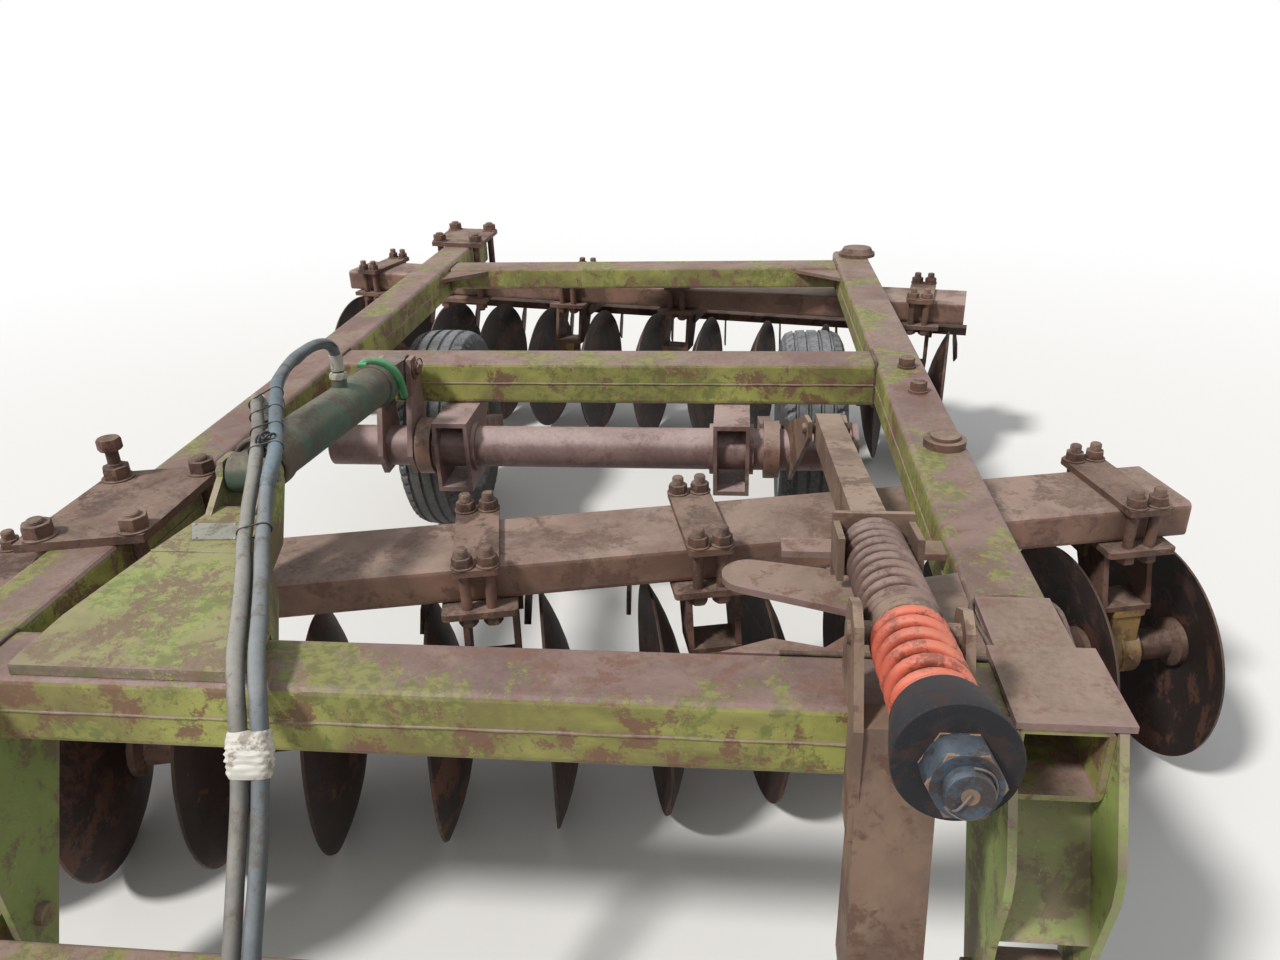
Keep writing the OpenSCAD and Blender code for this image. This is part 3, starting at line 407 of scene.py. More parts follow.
class Finish(Enum):
    """The finishes of the harrow."""

    FRAME = FRAME_PAINT
    POST = replace(
        FRAME_PAINT, name="post_lime", side="97a55c", side_deep="7b8a4a", patch="6e5d48", patch_cover=0.36,
        patch_scale=11.0, speck="a8b568", speck_amount=0.4,
    )
    BRACKET = replace(
        FRAME_PAINT, name="bracket_olive", top="96945e", top_deep="7d7450", side="6d6a42", side_deep="4c4634",
        patch="6f5a45", patch_cover=0.46, patch_scale=16.0, dust_amount=0.3, speck="949c5a",
        speck_deep="747e44",
    )
    PLATES = replace(
        FRAME_PAINT, name="frame_plate_brown", side="806a5a", side_deep="604c42", top="957c6e",
        top_deep="75604f", speck_amount=0.45,
    )
    GANG_BEAM = Weathered(
        "gang_beam_brown", "84614f", "62463a", "987e70", "735a4e", "573a2e", 0.36, 8.0, "b19d8f", 0.65,
        # edge: a wide pale band along the rounded corners, partly rubbed paint and partly a painted
        # highlight.
        speck="84804c", speck_amount=0.3, edge="a5837d", edge_amount=0.7, edge_width=0.014, rough=0.62,
    )
    SHAFT = Weathered(
        "shaft_dusty", "8d7069", "684f49", "ac928c", "8a716b", "664840", 0.3, 9.0, "b9a6a0", 0.7,
        speck_amount=0.1, rough=0.6,
    )
    MAST = Weathered(
        "mast_taupe", "7c6452", "5f4a3d", "9b8471", "78614f", "553a2e", 0.34, 9.0, "ad9884", 0.5,
        speck_amount=0.25, rough=0.65,
    )
    IRON = Weathered(
        "rusty_iron", "755446", "54392e", "8c7163", "644b3f", "402a21", 0.40, 13.0, "a89383", 0.55,
        relief=0.55,
    )
    DISC = Weathered(
        "disc_rust", "35231e", "1f1513", "4a3329", "2d1e19", "5b3a2d", 0.3, 9.0, "8a7566", 0.25,
        edge="6d5648", edge_amount=0.6, edge_width=0.004, rough=0.62, metal=0.2,
    )
    OCHRE = Weathered(
        "bearing_ochre", "a98748", "86683a", "a08556", "846a45", "654a36", 0.40, 12.0, "ac9a82", 0.7,
        relief=0.6,
    )
    STEEL = Weathered(
        "dull_steel", "6f6762", "4b433f", "7d746e", "58504b", "5b4034", 0.3, 16.0, "a8968a", 0.5,
        rough=0.55, metal=0.5,
    )
    SPRING = Weathered(
        "spring_orange", "cf5f45", "a34634", "d9765c", "b2523e", "7a3a2c", 0.28, 24.0, "c29480", 0.4,
        rough=0.55,
    )
    SPRING_OLD = Weathered(
        "spring_brown", "6b5045", "4c362e", "8a7064", "66504a", "53372c", 0.4, 18.0, "a8948a", 0.7,
        rough=0.7,
    )
    CYLINDER = Weathered(
        "cylinder_green", "3f5c4a", "38382f", "4f6b58", "63594d", "524539", 0.56, 8.0, "9c9484", 0.6,
        relief=0.5,
    )
    TYRE = Weathered(
        "tyre_rubber", "3d3d3b", "2c2c2b", "6f6f6e", "4e4e4d", "4a4642", 0.3, 8.0, "9c9da0", 0.9,
        rough=0.88,
    )
    HOSE = Weathered(
        "hose_grey", "5f666b", "4b5155", "7d8386", "64696d", "55504b", 0.25, 22.0, "a3a09a", 0.45,
        rough=0.72,
    )
    HOSE_PALE = Weathered(
        "hose_pale", "75726c", "5c5a56", "8f8b84", "757069", "645b52", 0.3, 22.0, "aea89e", 0.5,
        rough=0.75,
    )
    TAPE = Weathered(
        "tape_blue_grey", "53646d", "424f57", "687a83", "55656d", "504d4a", 0.25, 30.0, "a0a4a3", 0.4,
        rough=0.6,
    )
    TIE = Weathered(
        "tie_dark", "23262b", "17191c", "2d3136", "1e2124", "3a3632", 0.2, 30.0, "6e6a66", 0.3,
        rough=0.5,
    )
    CUP = Weathered(
        "cup_dark", "17181c", "101114", "232328", "17181b", "2f211f", 0.35, 14.0, "6d5f5a", 0.12,
        rough=0.85,
    )
    NUT = Weathered(
        "nut_blue_steel", "43505d", "2a3038", "55626f", "39424b", "3a2f2b", 0.42, 20.0, "857f7a", 0.4,
        rough=0.5, metal=0.3,
    )
    STRAP = Weathered(
        "strap_green", "3f8a55", "2f7042", "57a26c", "41895a", "55604a", 0.25, 22.0, "9fa894", 0.3,
        rough=0.55,
    )
    FITTING = Weathered(
        "fitting_pale", "a8a497", "8a8579", "c4c0b0", "a09b8d", "6f675c", 0.25, 30.0, "cfc8b8", 0.4,
        rough=0.6,
    )
    CLOTH = Weathered(
        "wrap_white", "c9c4ba", "aaa499", "dcd7cd", "c2bcb0", "8d8377", 0.25, 26.0, "cbbfae", 0.3,
        rough=0.95,
    )
    PLATE = Weathered(
        "plate_blank", "8d8a80", "737067", "a5a297", "87847a", "6a6353", 0.3, 24.0, "b3ad9c", 0.5,
        rough=0.45, metal=0.6,
    )
    WELD = Weathered(
        "weld_bead", "6a5c3a", "4c3d2d", "75604f", "523f37", "442e25", 0.4, 20.0, "a8968a", 0.4,
        relief=0.7,
    )


NODE_FINISH: dict[Finish, tuple[str, ...]] = {
    Finish.FRAME: ("main_frame", "drawbar"),
    Finish.PLATES: ("frame_plates",),
    Finish.POST: ("draw_posts",),
    Finish.BRACKET: ("cylinder_bracket",),
    Finish.GANG_BEAM: ("front_beam", "rear_beam", "wheel_arms"),
    Finish.SHAFT: ("rockshaft_tube", "shaft_hangers", "crank_arm"),
    Finish.MAST: ("mast", "link_bar", "level_arm"),
    Finish.IRON: (
        "frame_bolts", "front_clamps", "rear_clamps", "front_hanger_frames", "rear_hanger_frames",
        "front_scrapers", "rear_scrapers",
        "front_left_axle", "front_right_axle", "rear_left_axle", "rear_right_axle",
    ),
    Finish.DISC: ("front_left_discs", "front_right_discs", "rear_left_discs", "rear_right_discs"),
    Finish.OCHRE: ("front_bearings", "rear_bearings", "left_rim", "right_rim"),
    Finish.STEEL: ("cylinder_rod", "jack_tube", "jack_leg", "hose_couplers"),
    Finish.CYLINDER: ("cylinder_barrel",),
}


@dataclass(frozen=True)
class Skin:
    """A closed surface as arrays: its points and its faces, given as quads and end caps."""

    points: Points
    quads: Points
    caps: tuple[tuple[int, ...], ...] = ()

    def moved(self, place: Matrix) -> "Skin":
        """The same surface carried by a matrix: every point times the matrix."""
        turn = np.array(place)
        return replace(self, points=self.points @ turn[:3, :3].T + turn[:3, 3])

    @staticmethod
    def joined(skins: Sequence["Skin"]) -> "Skin":
        """Several surfaces as one: points run on, and faces count from their own first point.

        Args:
            skins: the surfaces.

        Returns:
            All of them as one.
        """
        starts = np.cumsum([0] + [len(s.points) for s in skins[:-1]])
        quads = np.concatenate([s.quads + k for s, k in zip(skins, starts)])
        caps = tuple(tuple(i + int(k) for i in cap) for s, k in zip(skins, starts) for cap in s.caps)
        return Skin(np.concatenate([s.points for s in skins]), quads, caps)


def shell(rings: Points, loop: bool = False) -> Skin:
    """A skin through rings of points, its two ends capped unless it closes on itself.

    Args:
        rings: points as an array of rings by points a ring by 3.
        loop: joins the last ring to the first.

    Returns:
        The surface, turned so that its volume is positive.
    """
    count, around = rings.shape[:2]
    row = np.arange(count if loop else count - 1)[:, None]
    col = np.arange(around)[None, :]
    after, beside = (row + 1) % count, (col + 1) % around
    corners = (row * around + col, row * around + beside, after * around + beside, after * around + col)
    quads = np.stack(corners, -1).reshape(-1, 4)
    points = rings.reshape(-1, 3)
    caps: tuple[tuple[int, ...], ...] = ()
    if not loop:
        last = (count - 1) * around
        caps = (tuple(range(around - 1, -1, -1)), tuple(range(last, last + around)))
    a, b, c, d = (points[quads[:, k]] - points.mean(0) for k in range(4))
    volume = np.sum(np.cross(a, b) * c) + np.sum(np.cross(a, c) * d)
    if volume < 0:
        quads = quads[:, ::-1]
        caps = tuple(cap[::-1] for cap in caps)
    return Skin(points, quads, caps)


def carried(path: Points, loop: bool = False) -> tuple[Points, Points]:
    """Two cross directions along a path, each turned from the last by as little as can be.

    Args:
        path: the points of the path.
        loop: the path closes on itself.

    Returns:
        The first and second direction at every point.
    """
    ahead = np.roll(path, -1, 0) - np.roll(path, 1, 0) if loop else np.gradient(path, axis=0)
    ahead /= np.linalg.norm(ahead, axis=1, keepdims=True)
    first = np.zeros_like(path)
    start = np.eye(3)[np.argmin(np.abs(ahead[0]))]
    for k, way in enumerate(ahead):
        start = start - way * float(start @ way)
        start = start / np.linalg.norm(start)
        first[k] = start
    return first, np.cross(ahead, first)


def tube(path: Points, radius: float | Points, sides: int = 12, loop: bool = False) -> Skin:
    """A round bar along a path: centre plus radius times cosine and sine of the two directions.

    Args:
        path: the points of its middle line.
        radius: one radius, or one for each point.
        sides: points round it.
        loop: the path closes on itself.

    Returns:
        The surface.
    """
    one, two = carried(path, loop)
    angle = np.linspace(0.0, TAU, sides, endpoint=False)
    reach = np.broadcast_to(radius, (len(path),))[:, None, None]
    across = np.cos(angle)[None, :, None] * one[:, None] + np.sin(angle)[None, :, None] * two[:, None]
    return shell(path[:, None] + across * reach, loop)


def turned(profile: Sequence[tuple[float, float]], sides: int = 48) -> Skin:
    """A lathe form about local Z: every (radius, height) of the profile swept round the axis.

    Args:
        profile: radius and height at each level, from the bottom up.
        sides: points round it.

    Returns:
        The surface.
    """
    shape = np.asarray(profile, float)
    angle = np.linspace(0.0, TAU, sides, endpoint=False)
    ring = np.stack([np.cos(angle), np.sin(angle), np.zeros(sides)], -1)
    rings = shape[:, 0, None, None] * ring[None] + shape[:, 1, None, None] * UP
    return shell(rings)


def hexagon(across: float, height: float, hole: float = 0.0) -> Skin:
    """A chamfered nut about local Z: hexagon rings, then a round one, then the sunken bore.

    Args:
        across: width over its flats.
        height: its height.
        hole: radius of its bore, or none.

    Returns:
        The surface, which stands at local z = 0.
    """
    angle = np.linspace(0.0, TAU, 36, endpoint=False)
    flat = across / 2.0 / np.cos((angle + TAU / 12) % (TAU / 6) - TAU / 12)
    round_top = np.minimum(flat, across / 2.0 * 1.02)
    levels = [(round_top, 0.0), (flat, 0.1), (flat, 0.84), (round_top, 1.0)]
    if hole > 0:
        bore = np.full_like(flat, hole)
        levels += [(bore, 1.0), (bore * 0.96, 0.8)]
    ring = np.stack([np.cos(angle), np.sin(angle)], -1)
    rings = [np.column_stack([ring * r[:, None], np.full(len(angle), h * height)]) for r, h in levels]
    return shell(np.array(rings))


def slab(outline: Sequence[tuple[float, float]], thick: float, edge: float = 0.0015) -> Skin:
    """A flat plate over an outline in local X and Y, with its upper and lower rims eased.

    Args:
        outline: its corners, in order.
        thick: its thickness.
        edge: how far its rims are eased.

    Returns:
        The surface, which lies on local z = 0.
    """
    flat = np.asarray(outline, float)
    small = flat.mean(0) + (flat - flat.mean(0)) * (1.0 - edge / np.abs(flat - flat.mean(0)).max())
    levels = [(small, 0.0), (flat, edge), (flat, thick - edge), (small, thick)]
    return shell(np.array([np.column_stack([ring, np.full(len(ring), z)]) for ring, z in levels]))


def smooth(points: Points, step: float, loop: bool = False) -> Points:
    """Even points on the cubic curve that passes through the given ones, a step apart.

    Args:
        points: the points to pass through.
        step: length of curve between two of the new points.
        loop: the curve closes on itself.

    Returns:
        The new points.
    """
    held = np.concatenate([points[-1:], points, points[:2]]) if loop else np.concatenate(
        [2 * points[:1] - points[1:2], points, 2 * points[-1:] - points[-2:-1]]
    )
    pieces = len(points) if loop else len(points) - 1
    t = np.linspace(0.0, 1.0, 12, endpoint=False)[None, :, None]
    p0, p1, p2, p3 = (held[k : k + pieces][:, None] for k in range(4))
    square, cube = 2 * p0 - 5 * p1 + 4 * p2 - p3, 3 * p1 - p0 - 3 * p2 + p3
    dense = (0.5 * (2 * p1 + (p2 - p0) * t + square * t**2 + cube * t**3)).reshape(-1, 3)
    if not loop:
        dense = np.concatenate([dense, points[-1:]])
    run = np.concatenate([[0.0], np.cumsum(np.linalg.norm(np.diff(dense, axis=0), axis=1))])
    count = max(3, int(round(run[-1] / step)))
    at = np.linspace(0.0, run[-1], count + 1)
    return np.stack([np.interp(at, run, dense[:, k]) for k in range(3)], -1)


def frame_at(spot: Sequence[float], up: Sequence[float], side: Sequence[float] = (1.0, 0.0, 0.0)) -> Matrix:
    """The place whose local Z points up the given way, with local X as near side as can be.

    Args:
        spot: where its zero lies.
        up: where its Z points.
        side: where its X leans.

    Returns:
        The matrix of the place.
    """
    z = Vector(up).normalized()
    x = (Vector(side) - z * Vector(side).dot(z)).normalized()
    y = z.cross(x)
    turn = Matrix((x, y, z)).transposed().to_4x4()
    return Matrix.Translation(Vector([float(v) for v in spot])) @ turn


class Workshop:
    """Makes pieces out of skins, dresses them and hangs them on their bodies."""

    def __init__(self) -> None:
        """Builds the shared shader groups and starts an empty store of materials."""
        self.effects = Effects()
        self.made: dict[Finish, bpy.types.Material] = {}

    def material(self, finish: Finish) -> bpy.types.Material:
        """The material of a finish, built at its first use.

        Args:
            finish: the finish.

        Returns:
            Its material.
        """
        if finish not in self.made:
            self.made[finish] = finish.value.build(self.effects)
        return self.made[finish]

    def piece(
        self, name: str, skin: Skin, finish: Finish, body: str,
        instead: Sequence[str] = (), crease: float = 38.0,
    ) -> bpy.types.Object:
        """Makes one piece.

        Args:
            name: the piece's name.
            skin: its surface, in the part's frame.
            finish: how it looks.
            body: the body that it rides on.
            instead: CAD nodes that it stands for.
            crease: angle in degrees past which an edge stays sharp.

        Returns:
            The piece's object.
        """
        mesh = bpy.data.meshes.new(name)
        faces = skin.quads.tolist() + [list(cap) for cap in skin.caps]
        mesh.from_pydata(skin.points.tolist(), [], faces)
        mesh.polygons.foreach_set("use_smooth", np.ones(len(mesh.polygons), bool))
        mesh.set_sharp_from_angle(angle=math.radians(crease))
        mesh.materials.append(self.material(finish))
        made = bpy.data.objects.new(name, mesh)
        bpy.context.scene.collection.objects.link(made)
        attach(made, body)
        if instead:
            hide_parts(*instead)
        LOG.info("%s: %d faces on %s", name, len(faces), body)
        return made

    def dress(self, frame: dict) -> None:
        """Gives every CAD node that stays visible its finish.

        Args:
            frame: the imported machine, with its nodes by name.
        """
        for finish, nodes in NODE_FINISH.items():
            for name in nodes:
                mesh = frame["nodes"][name].data
                mesh.materials.clear()
                mesh.materials.append(self.material(finish))
            LOG.info("%s on %d nodes", finish.value.name, len(nodes))


@dataclass(frozen=True)
class HoseRun:
    """One hydraulic hose: its free run, its coil on the floor and the tail to its coupler."""

    name: str
    route: tuple[tuple[float, float, float], ...]
    coil_x: float
    hand: int
    finish: Finish
    nodes: tuple[str, str]
    radius: float = 0.012
    step: float = 0.012
    coil_y: float = -1990.0
    outer: float = 144.0
    pitch: float = 24.5
    low: float = 13.0
    lift: float = 24.6
    turns: int = 2
    climb: float = 0.25
    tail_r: float = 138.0
    tail: tuple[tuple[float, float], ...] = (
        (30, 37.6), (70, 36.5), (110, 31), (150, 22), (180, 17), (205, 17),
    )
    sleeve_r: float = 0.0146

    def coil(self) -> Points:
        """Points of the coil: a flat spiral inwards, a climb, and a flat spiral out on top of it.

        Returns:
            The points, in millimetres of the drawing.
        """
        inner = self.outer - self.pitch * self.turns
        down = np.linspace(0.0, self.turns, 24 * self.turns + 1)
        climb = np.linspace(0.0, self.climb, 8)[1:]
        back = self.turns - self.climb
        rise = np.linspace(0.0, back, 42)[1:]
        angle = np.concatenate([down, self.turns + climb, self.turns + self.climb + rise])
        spread = inner + (self.tail_r - inner) * rise / back
        radius = np.concatenate([self.outer - self.pitch * down, np.full(len(climb), inner), spread])
        ease = (1 - np.cos(np.pi * climb / self.climb)) / 2
        level = np.concatenate([np.zeros(len(down)), ease, np.ones(len(rise))])
        turn = math.pi + TAU * angle
        x = self.coil_x + self.hand * radius * np.cos(turn)
        return np.stack([x, self.coil_y + radius * np.sin(turn), self.low + self.lift * level], -1)

    def path(self) -> Points:
        """The whole hose: run, coil and tail, as even points in metres.

        Returns:
            The points.
        """
        tail_x = self.coil_x - self.hand * self.tail_r
        tail = [[tail_x, self.coil_y - away, z] for away, z in self.tail]
        run = np.array(self.route, float)
        return smooth(metres(np.concatenate([run, self.coil()[1:], tail])), self.step)

    def build(self, shop: Workshop, others: Sequence[bpy.types.Object]) -> None:
        """Args:
            shop: the workshop that makes the pieces.
            others: the pieces that the hose carries, apart from its own ends; not used.
        """
        path = self.path()
        skin = tube(path, self.radius, 16)
        made = shop.piece(self.name, skin, self.finish, "frame", self.nodes, 80.0)
        crimp = self.sleeve_r + 0.0006 * np.sin(np.linspace(0.0, 18.0, 4))
        sleeves = Skin.joined([tube(path[:4], crimp, 20), tube(path[-4:], crimp, 20)])
        ends = shop.piece(f"{self.name}_ends", sleeves, Finish.FITTING, "frame")


# Middle lines of the two hoses from their ports to the floor, in millimetres of the drawing.
GREY_ROUTE = (
    (-526, -421, 882.3), (-526, -420, 908), (-528, -424, 934), (-533, -448, 952), (-541, -484, 959),
    (-550, -520, 957), (-558, -566, 951), (-552, -650, 938), (-525, -727, 926), (-488, -815, 915),
    (-455, -890, 911), (-437, -940, 902), (-432, -976, 886), (-430, -1005, 860), (-422, -1044, 830),
    (-398, -1112, 814), (-364, -1189, 808), (-321, -1290, 804), (-288, -1372, 798), (-269, -1421, 775),
    (-261, -1454, 718), (-257, -1492, 650), (-251, -1540, 584), (-247, -1600, 504), (-246, -1645, 420),
    (-246, -1680, 335), (-247, -1708, 250), (-248, -1732, 170), (-249, -1756, 100), (-250, -1788, 48),
    (-251, -1835, 21), (-252, -1890, 13), (-252, -1940, 13), (-252, -1985, 13),
)
PALE_ROUTE = (
    (-605, -637.4, 865.1), (-605, -636.9, 872), (-604.5, -640, 884), (-600, -654, 898), (-588, -684, 910),
    (-552, -756, 912), (-513, -837, 908), (-483, -907, 905), (-466, -955, 895), (-460, -990, 870),
    (-459, -1018, 843), (-451, -1052, 823), (-428, -1114, 814), (-394, -1190, 808), (-351, -1291, 804),
    (-318, -1374, 798), (-299, -1422, 775), (-291, -1455, 718), (-286, -1492, 650), (-281, -1540, 584),
    (-275, -1600, 503), (-277, -1645, 420), (-281, -1680, 335), (-287, -1708, 250), (-294, -1732, 170),
    (-302, -1756, 100), (-309, -1788, 48), (-314, -1835, 21), (-318, -1890, 13), (-318, -1940, 13),
    (-318, -1985, 13),
)


@dataclass(frozen=True)
class Hoses:
    """Both hoses with the ties, tape and white wrap that hold them together."""

    tie_y: tuple[float, ...] = (-700.0, -770.0, -840.0, -915.0, -1062.0)
    tape_y: tuple[float, float] = (-640.0, -1000.0)
    wrap_y: tuple[float, float] = (-1448.0, -1478.0)
    wrap_swell: float = 0.0045
    wire_y: float = -424.0
    knot_y: float = -905.0
    knot_winds: float = 7.0 / 3.0
    hose_r: float = 0.012
    tie_gap: float = 0.0012
    tie_r: float = 0.0016
    around: int = 40

    @staticmethod
    def _between(path: Points, spots: Sequence[float]) -> slice:
        """The stretch of a path between two places along the machine."""
        near, far = (int(np.argmax(path[:, 1] <= y / 1000.0 + SHIFT_Y)) for y in spots)
        return slice(near, far)

    @staticmethod
    def _at(path: Points, y: float) -> tuple[Points, Points]:
        """The first point of a path that reaches a given place along the machine, and its direction.

        Args:
            path: a hose's points.
            y: the place, in millimetres of the drawing.

        Returns:
            The point and the direction of the hose there.
        """
        level = y / 1000.0 + SHIFT_Y
        k = int(np.argmax(path[:, 1] <= level))
        k = max(1, min(k, len(path) - 2))
        part = (level - path[k - 1, 1]) / (path[k, 1] - path[k - 1, 1])
        way = path[k + 1] - path[k - 1]
        return path[k - 1] + (path[k] - path[k - 1]) * part, way / np.linalg.norm(way)

    def _ring(self, grey: Points, pale: Points, y: float, gap: float | Points) -> Points:
        """A stadium curve round both hoses, a gap clear of them.

        Args:
            grey: points of the upper hose.
            pale: points of the lower hose.
            y: where it goes round, in millimetres of the drawing.
            gap: how far it stays clear of both, the same all round or one for each of its points.

        Returns:
            Its points, in order.
        """
        one, way = self._at(grey, y)
        two = self._at(pale, y)[0]
        across = (two - one) - way * float((two - one) @ way)
        reach = float(np.linalg.norm(across))
        across /= reach
        rise = np.cross(way, across)
        angle = np.linspace(0.0, TAU, self.around, endpoint=False)
        radius = self.hose_r + gap
        middle = one + across * reach / 2
        side, up = (radius * f(angle) for f in (np.cos, np.sin))
        side = side + np.tanh(4.0 * np.cos(angle)) * reach / 2
        return middle + side[:, None] * across + up[:, None] * rise

    def _cloth(self, grey: Points, pale: Points) -> Skin:
        """The wrap: rings round both hoses whose gap swells, creases and thins out to the ends.

        Args:
            grey: points of the upper hose.
            pale: points of the lower hose.

        Returns:
            The surface.
        """
        angle = np.linspace(0.0, TAU, self.around, endpoint=False)
        rings = []
        for part, y in zip(np.linspace(0.0, 1.0, 22), np.linspace(*self.wrap_y, 22)):
            swell = math.sin(math.pi * part) ** 0.5
            crease = 0.0011 * np.sin(5 * angle + 19.0 * part) + 0.0008 * np.sin(9 * angle - 31.0 * part + 1.0)
            lap = 0.0012 * math.sin(44.0 * part)
            gap = self.tie_gap + (0.9 * self.wrap_swell + crease + lap) * swell
            rings.append(self._ring(grey, pale, float(y), gap))
        return shell(np.array(rings))

    def _wire(self, path: Points) -> Skin:
        """A thin wire that wanders along the right side of the upper hose, from its fitting to the knot.

        Args:
            path: points of the upper hose.

        Returns:
            The surface.
        """
        spots = path[self._between(path, (self.wire_y, self.knot_y))][::3]
        run = np.linspace(0.0, 1.0, len(spots))[:, None]
        sideways = RIGHT * (0.0145 + 0.003 * np.sin(run * 31.0))
        return tube(smooth(spots + sideways + UP * 0.004 * np.sin(run * 17.0), 0.004), 0.0014, 8)

    def _knot(self, path: Points) -> Skin:
        """A tangle of tie wire: a curve that winds seven times round a ring while it runs round it thrice.

        Args:
            path: points of the upper hose.

        Returns:
            The surface.
        """
        spot, way = self._at(path, self.knot_y)
        turn = np.linspace(0.0, 3 * TAU, 240, endpoint=False)
        wound = self.knot_winds * turn
        reach = 0.014 + 0.0055 * np.cos(wound)
        flat = np.stack([reach * np.cos(turn), reach * np.sin(turn), 0.008 * np.sin(wound)], -1)
        place = frame_at(spot + np.array([-0.014, 0.0, 0.004]), way.tolist())
        return tube(flat, 0.0021, 8, loop=True).moved(place)

    def build(self, shop: Workshop) -> None:
        """Makes the hoses and what is on them.

        Args:
            shop: the workshop that makes the pieces.
        """
        grey = HoseRun("hose_grey_run", GREY_ROUTE, -108.0, 1, Finish.HOSE, ("grey_hose", "grey_coil"))
        pale = HoseRun("hose_pale_run", PALE_ROUTE, -462.0, -1, Finish.HOSE_PALE, ("pale_hose", "pale_coil"))
        upper, lower = grey.path(), pale.path()
        rings = [self._ring(upper, lower, y, self.tie_gap) for y in self.tie_y]
        skins = [tube(ring, self.tie_r, 8, loop=True) for ring in rings]
        skins += [self._wire(upper), self._knot(upper)]
        ties = shop.piece("hose_ties", Skin.joined(skins), Finish.TIE, "frame")
        taped = upper[self._between(upper, self.tape_y)]
        lap = 0.0128 + 0.0005 * (np.sin(np.linspace(0, 60.0, len(taped))) > 0)
        tape = shop.piece("hose_tape", tube(taped, lap, 16), Finish.TAPE, "frame")
        cloth = self._cloth(upper, lower)
        wrap = shop.piece("hose_wrap", cloth, Finish.CLOTH, "frame", crease=60.0)
        grey.build(shop, [ties, tape, wrap, bpy.data.objects["hose_couplers"]])
        pale.build(shop, [])


@dataclass(frozen=True)
class LevelLink:
    """The levelling link's springs, cup, nut and wire, along the line from trunnion to arm pin."""

    trunnion: tuple[float, float, float] = (577.0, -1400.0, 880.0)
    pin: tuple[float, float, float] = (577.0, -274.0, 693.0)
    coil_r: float = 0.041
    wire: float = 0.0083

    def place(self) -> Matrix:
        """Local Y runs from the trunnion to the arm pin.

        Returns:
            The matrix of the link's own frame, with its zero at the trunnion.
        """
        a, b = metres([self.trunnion, self.pin])
        y = Vector((b - a).tolist()).normalized()
        x = Vector(RIGHT.tolist())
        turn = Matrix((x, y, x.cross(y))).transposed().to_4x4()
        return Matrix.Translation(Vector(a.tolist())) @ turn

    def spring(self, start: float, end: float, turns: float) -> Skin:
        """A coil spring: a helix whose pitch closes over its first and last turn.

        Args:
            start: where it starts along the link.
            end: where it ends.
            turns: how often it goes round.

        Returns:
            The surface, in the link's own frame.
        """
        part = np.linspace(0.0, 1.0, int(turns * 28) + 1)
        dead = 0.9 / turns
        even = np.clip((part - dead) / (1 - 2 * dead), 0, 1)
        along = start + (end - start) * (0.06 * part + 0.94 * even)
        angle = TAU * turns * part
        path = np.stack([self.coil_r * np.cos(angle), along, self.coil_r * np.sin(angle)], -1)
        return tube(path, self.wire, 12)

    def build(self, shop: Workshop) -> None:
        """Makes both springs and dresses the cup, the nut and the rod's end.

        Args:
            shop: the workshop that makes the pieces.
        """
        place = self.place()
        for name, run, finish in (
            ("spring_front", (-0.2034, -0.0246, 7.0), Finish.SPRING),
            ("spring_rear", (0.0246, 0.3134, 11.0), Finish.SPRING_OLD),
        ):
            coil = self.spring(*run).moved(place)
            shop.piece(name, coil, finish, "level_link", ("link_springs",), 80.0)
        down_the_rod = place @ Matrix.Rotation(math.pi / 2, 4, "X")
        cup = turned([
            (0.0515, 0.2105), (0.0525, 0.2115), (0.0585, 0.2500), (0.0612, 0.2700), (0.06315, 0.2885),
            (0.0622, 0.2905), (0.0560, 0.2905), (0.0520, 0.2898), (0.0490, 0.2902), (0.0420, 0.2902),
        ], 72)
        shop.piece("link_cup", cup.moved(down_the_rod), Finish.CUP, "level_link")
        nut_place = Matrix.Translation((0, 0, 0.2908)) @ Matrix.Rotation(TAU / 12, 4, "Z")
        nut = hexagon(0.0655, 0.0400).moved(nut_place)
        end = turned([
            (0.0225, 0.329), (0.0232, 0.331), (0.0232, 0.3425), (0.0216, 0.3458), (0.0120, 0.3458),
            (0.0085, 0.3452), (0.0080, 0.3300),
        ], 48)
        skins = [nut.moved(down_the_rod), end.moved(down_the_rod)]
        shop.piece("link_nut", Skin.joined(skins), Finish.NUT, "level_link")
        angle = np.linspace(-2.4, 1.5, 40)
        reach, lie = 0.0262, -0.336
        loop = np.stack([reach * np.cos(angle), lie + 0.004 * np.cos(2 * angle), reach * np.sin(angle)], -1)
        ends = np.array([[0.0, -0.3475, 0.004], [-0.012, -0.3480, -0.012]])
        wire = tube(smooth(np.concatenate([ends, loop]), 0.002), 0.0013, 8).moved(place)
        shop.piece("link_wire", wire, Finish.STEEL, "level_link")


def circle(
    centre: Sequence[float], one: Sequence[float], two: Sequence[float], radius: float, count: int = 40
) -> Points:
    """A ring of points: centre plus radius times cosine of the one direction and sine of the other.

    Args:
        centre: the ring's middle.
        one: the first direction in its plane.
        two: the second, square to the first.
        radius: the ring's radius.
        count: how many points it has.

    Returns:
        The points, in order.
    """
    angle = np.linspace(0.0, TAU, count, endpoint=False)[:, None]
    middle, first, second = (np.asarray(values, float) for values in (centre, one, two))
    return middle + radius * (np.cos(angle) * first + np.sin(angle) * second)


def rounded(width: float, height: float, corner: float) -> Points:
    """A rectangle with round corners about the origin, as points in a plane.

    Args:
        width: its width.
        height: its height.
        corner: radius of its corners.

    Returns:
        The points, in order from its right side.
    """
    fan = np.radians(np.arange(0.0, 91.0, 18.0))
    spots = []
    for quarter, (sx, sy) in enumerate(((1, 1), (-1, 1), (-1, -1), (1, -1))):
        turn = fan + quarter * TAU / 4
        x = sx * (width / 2 - corner) + corner * np.cos(turn)
        spots.append(np.stack([x, sy * (height / 2 - corner) + corner * np.sin(turn)], -1))
    return np.concatenate(spots)


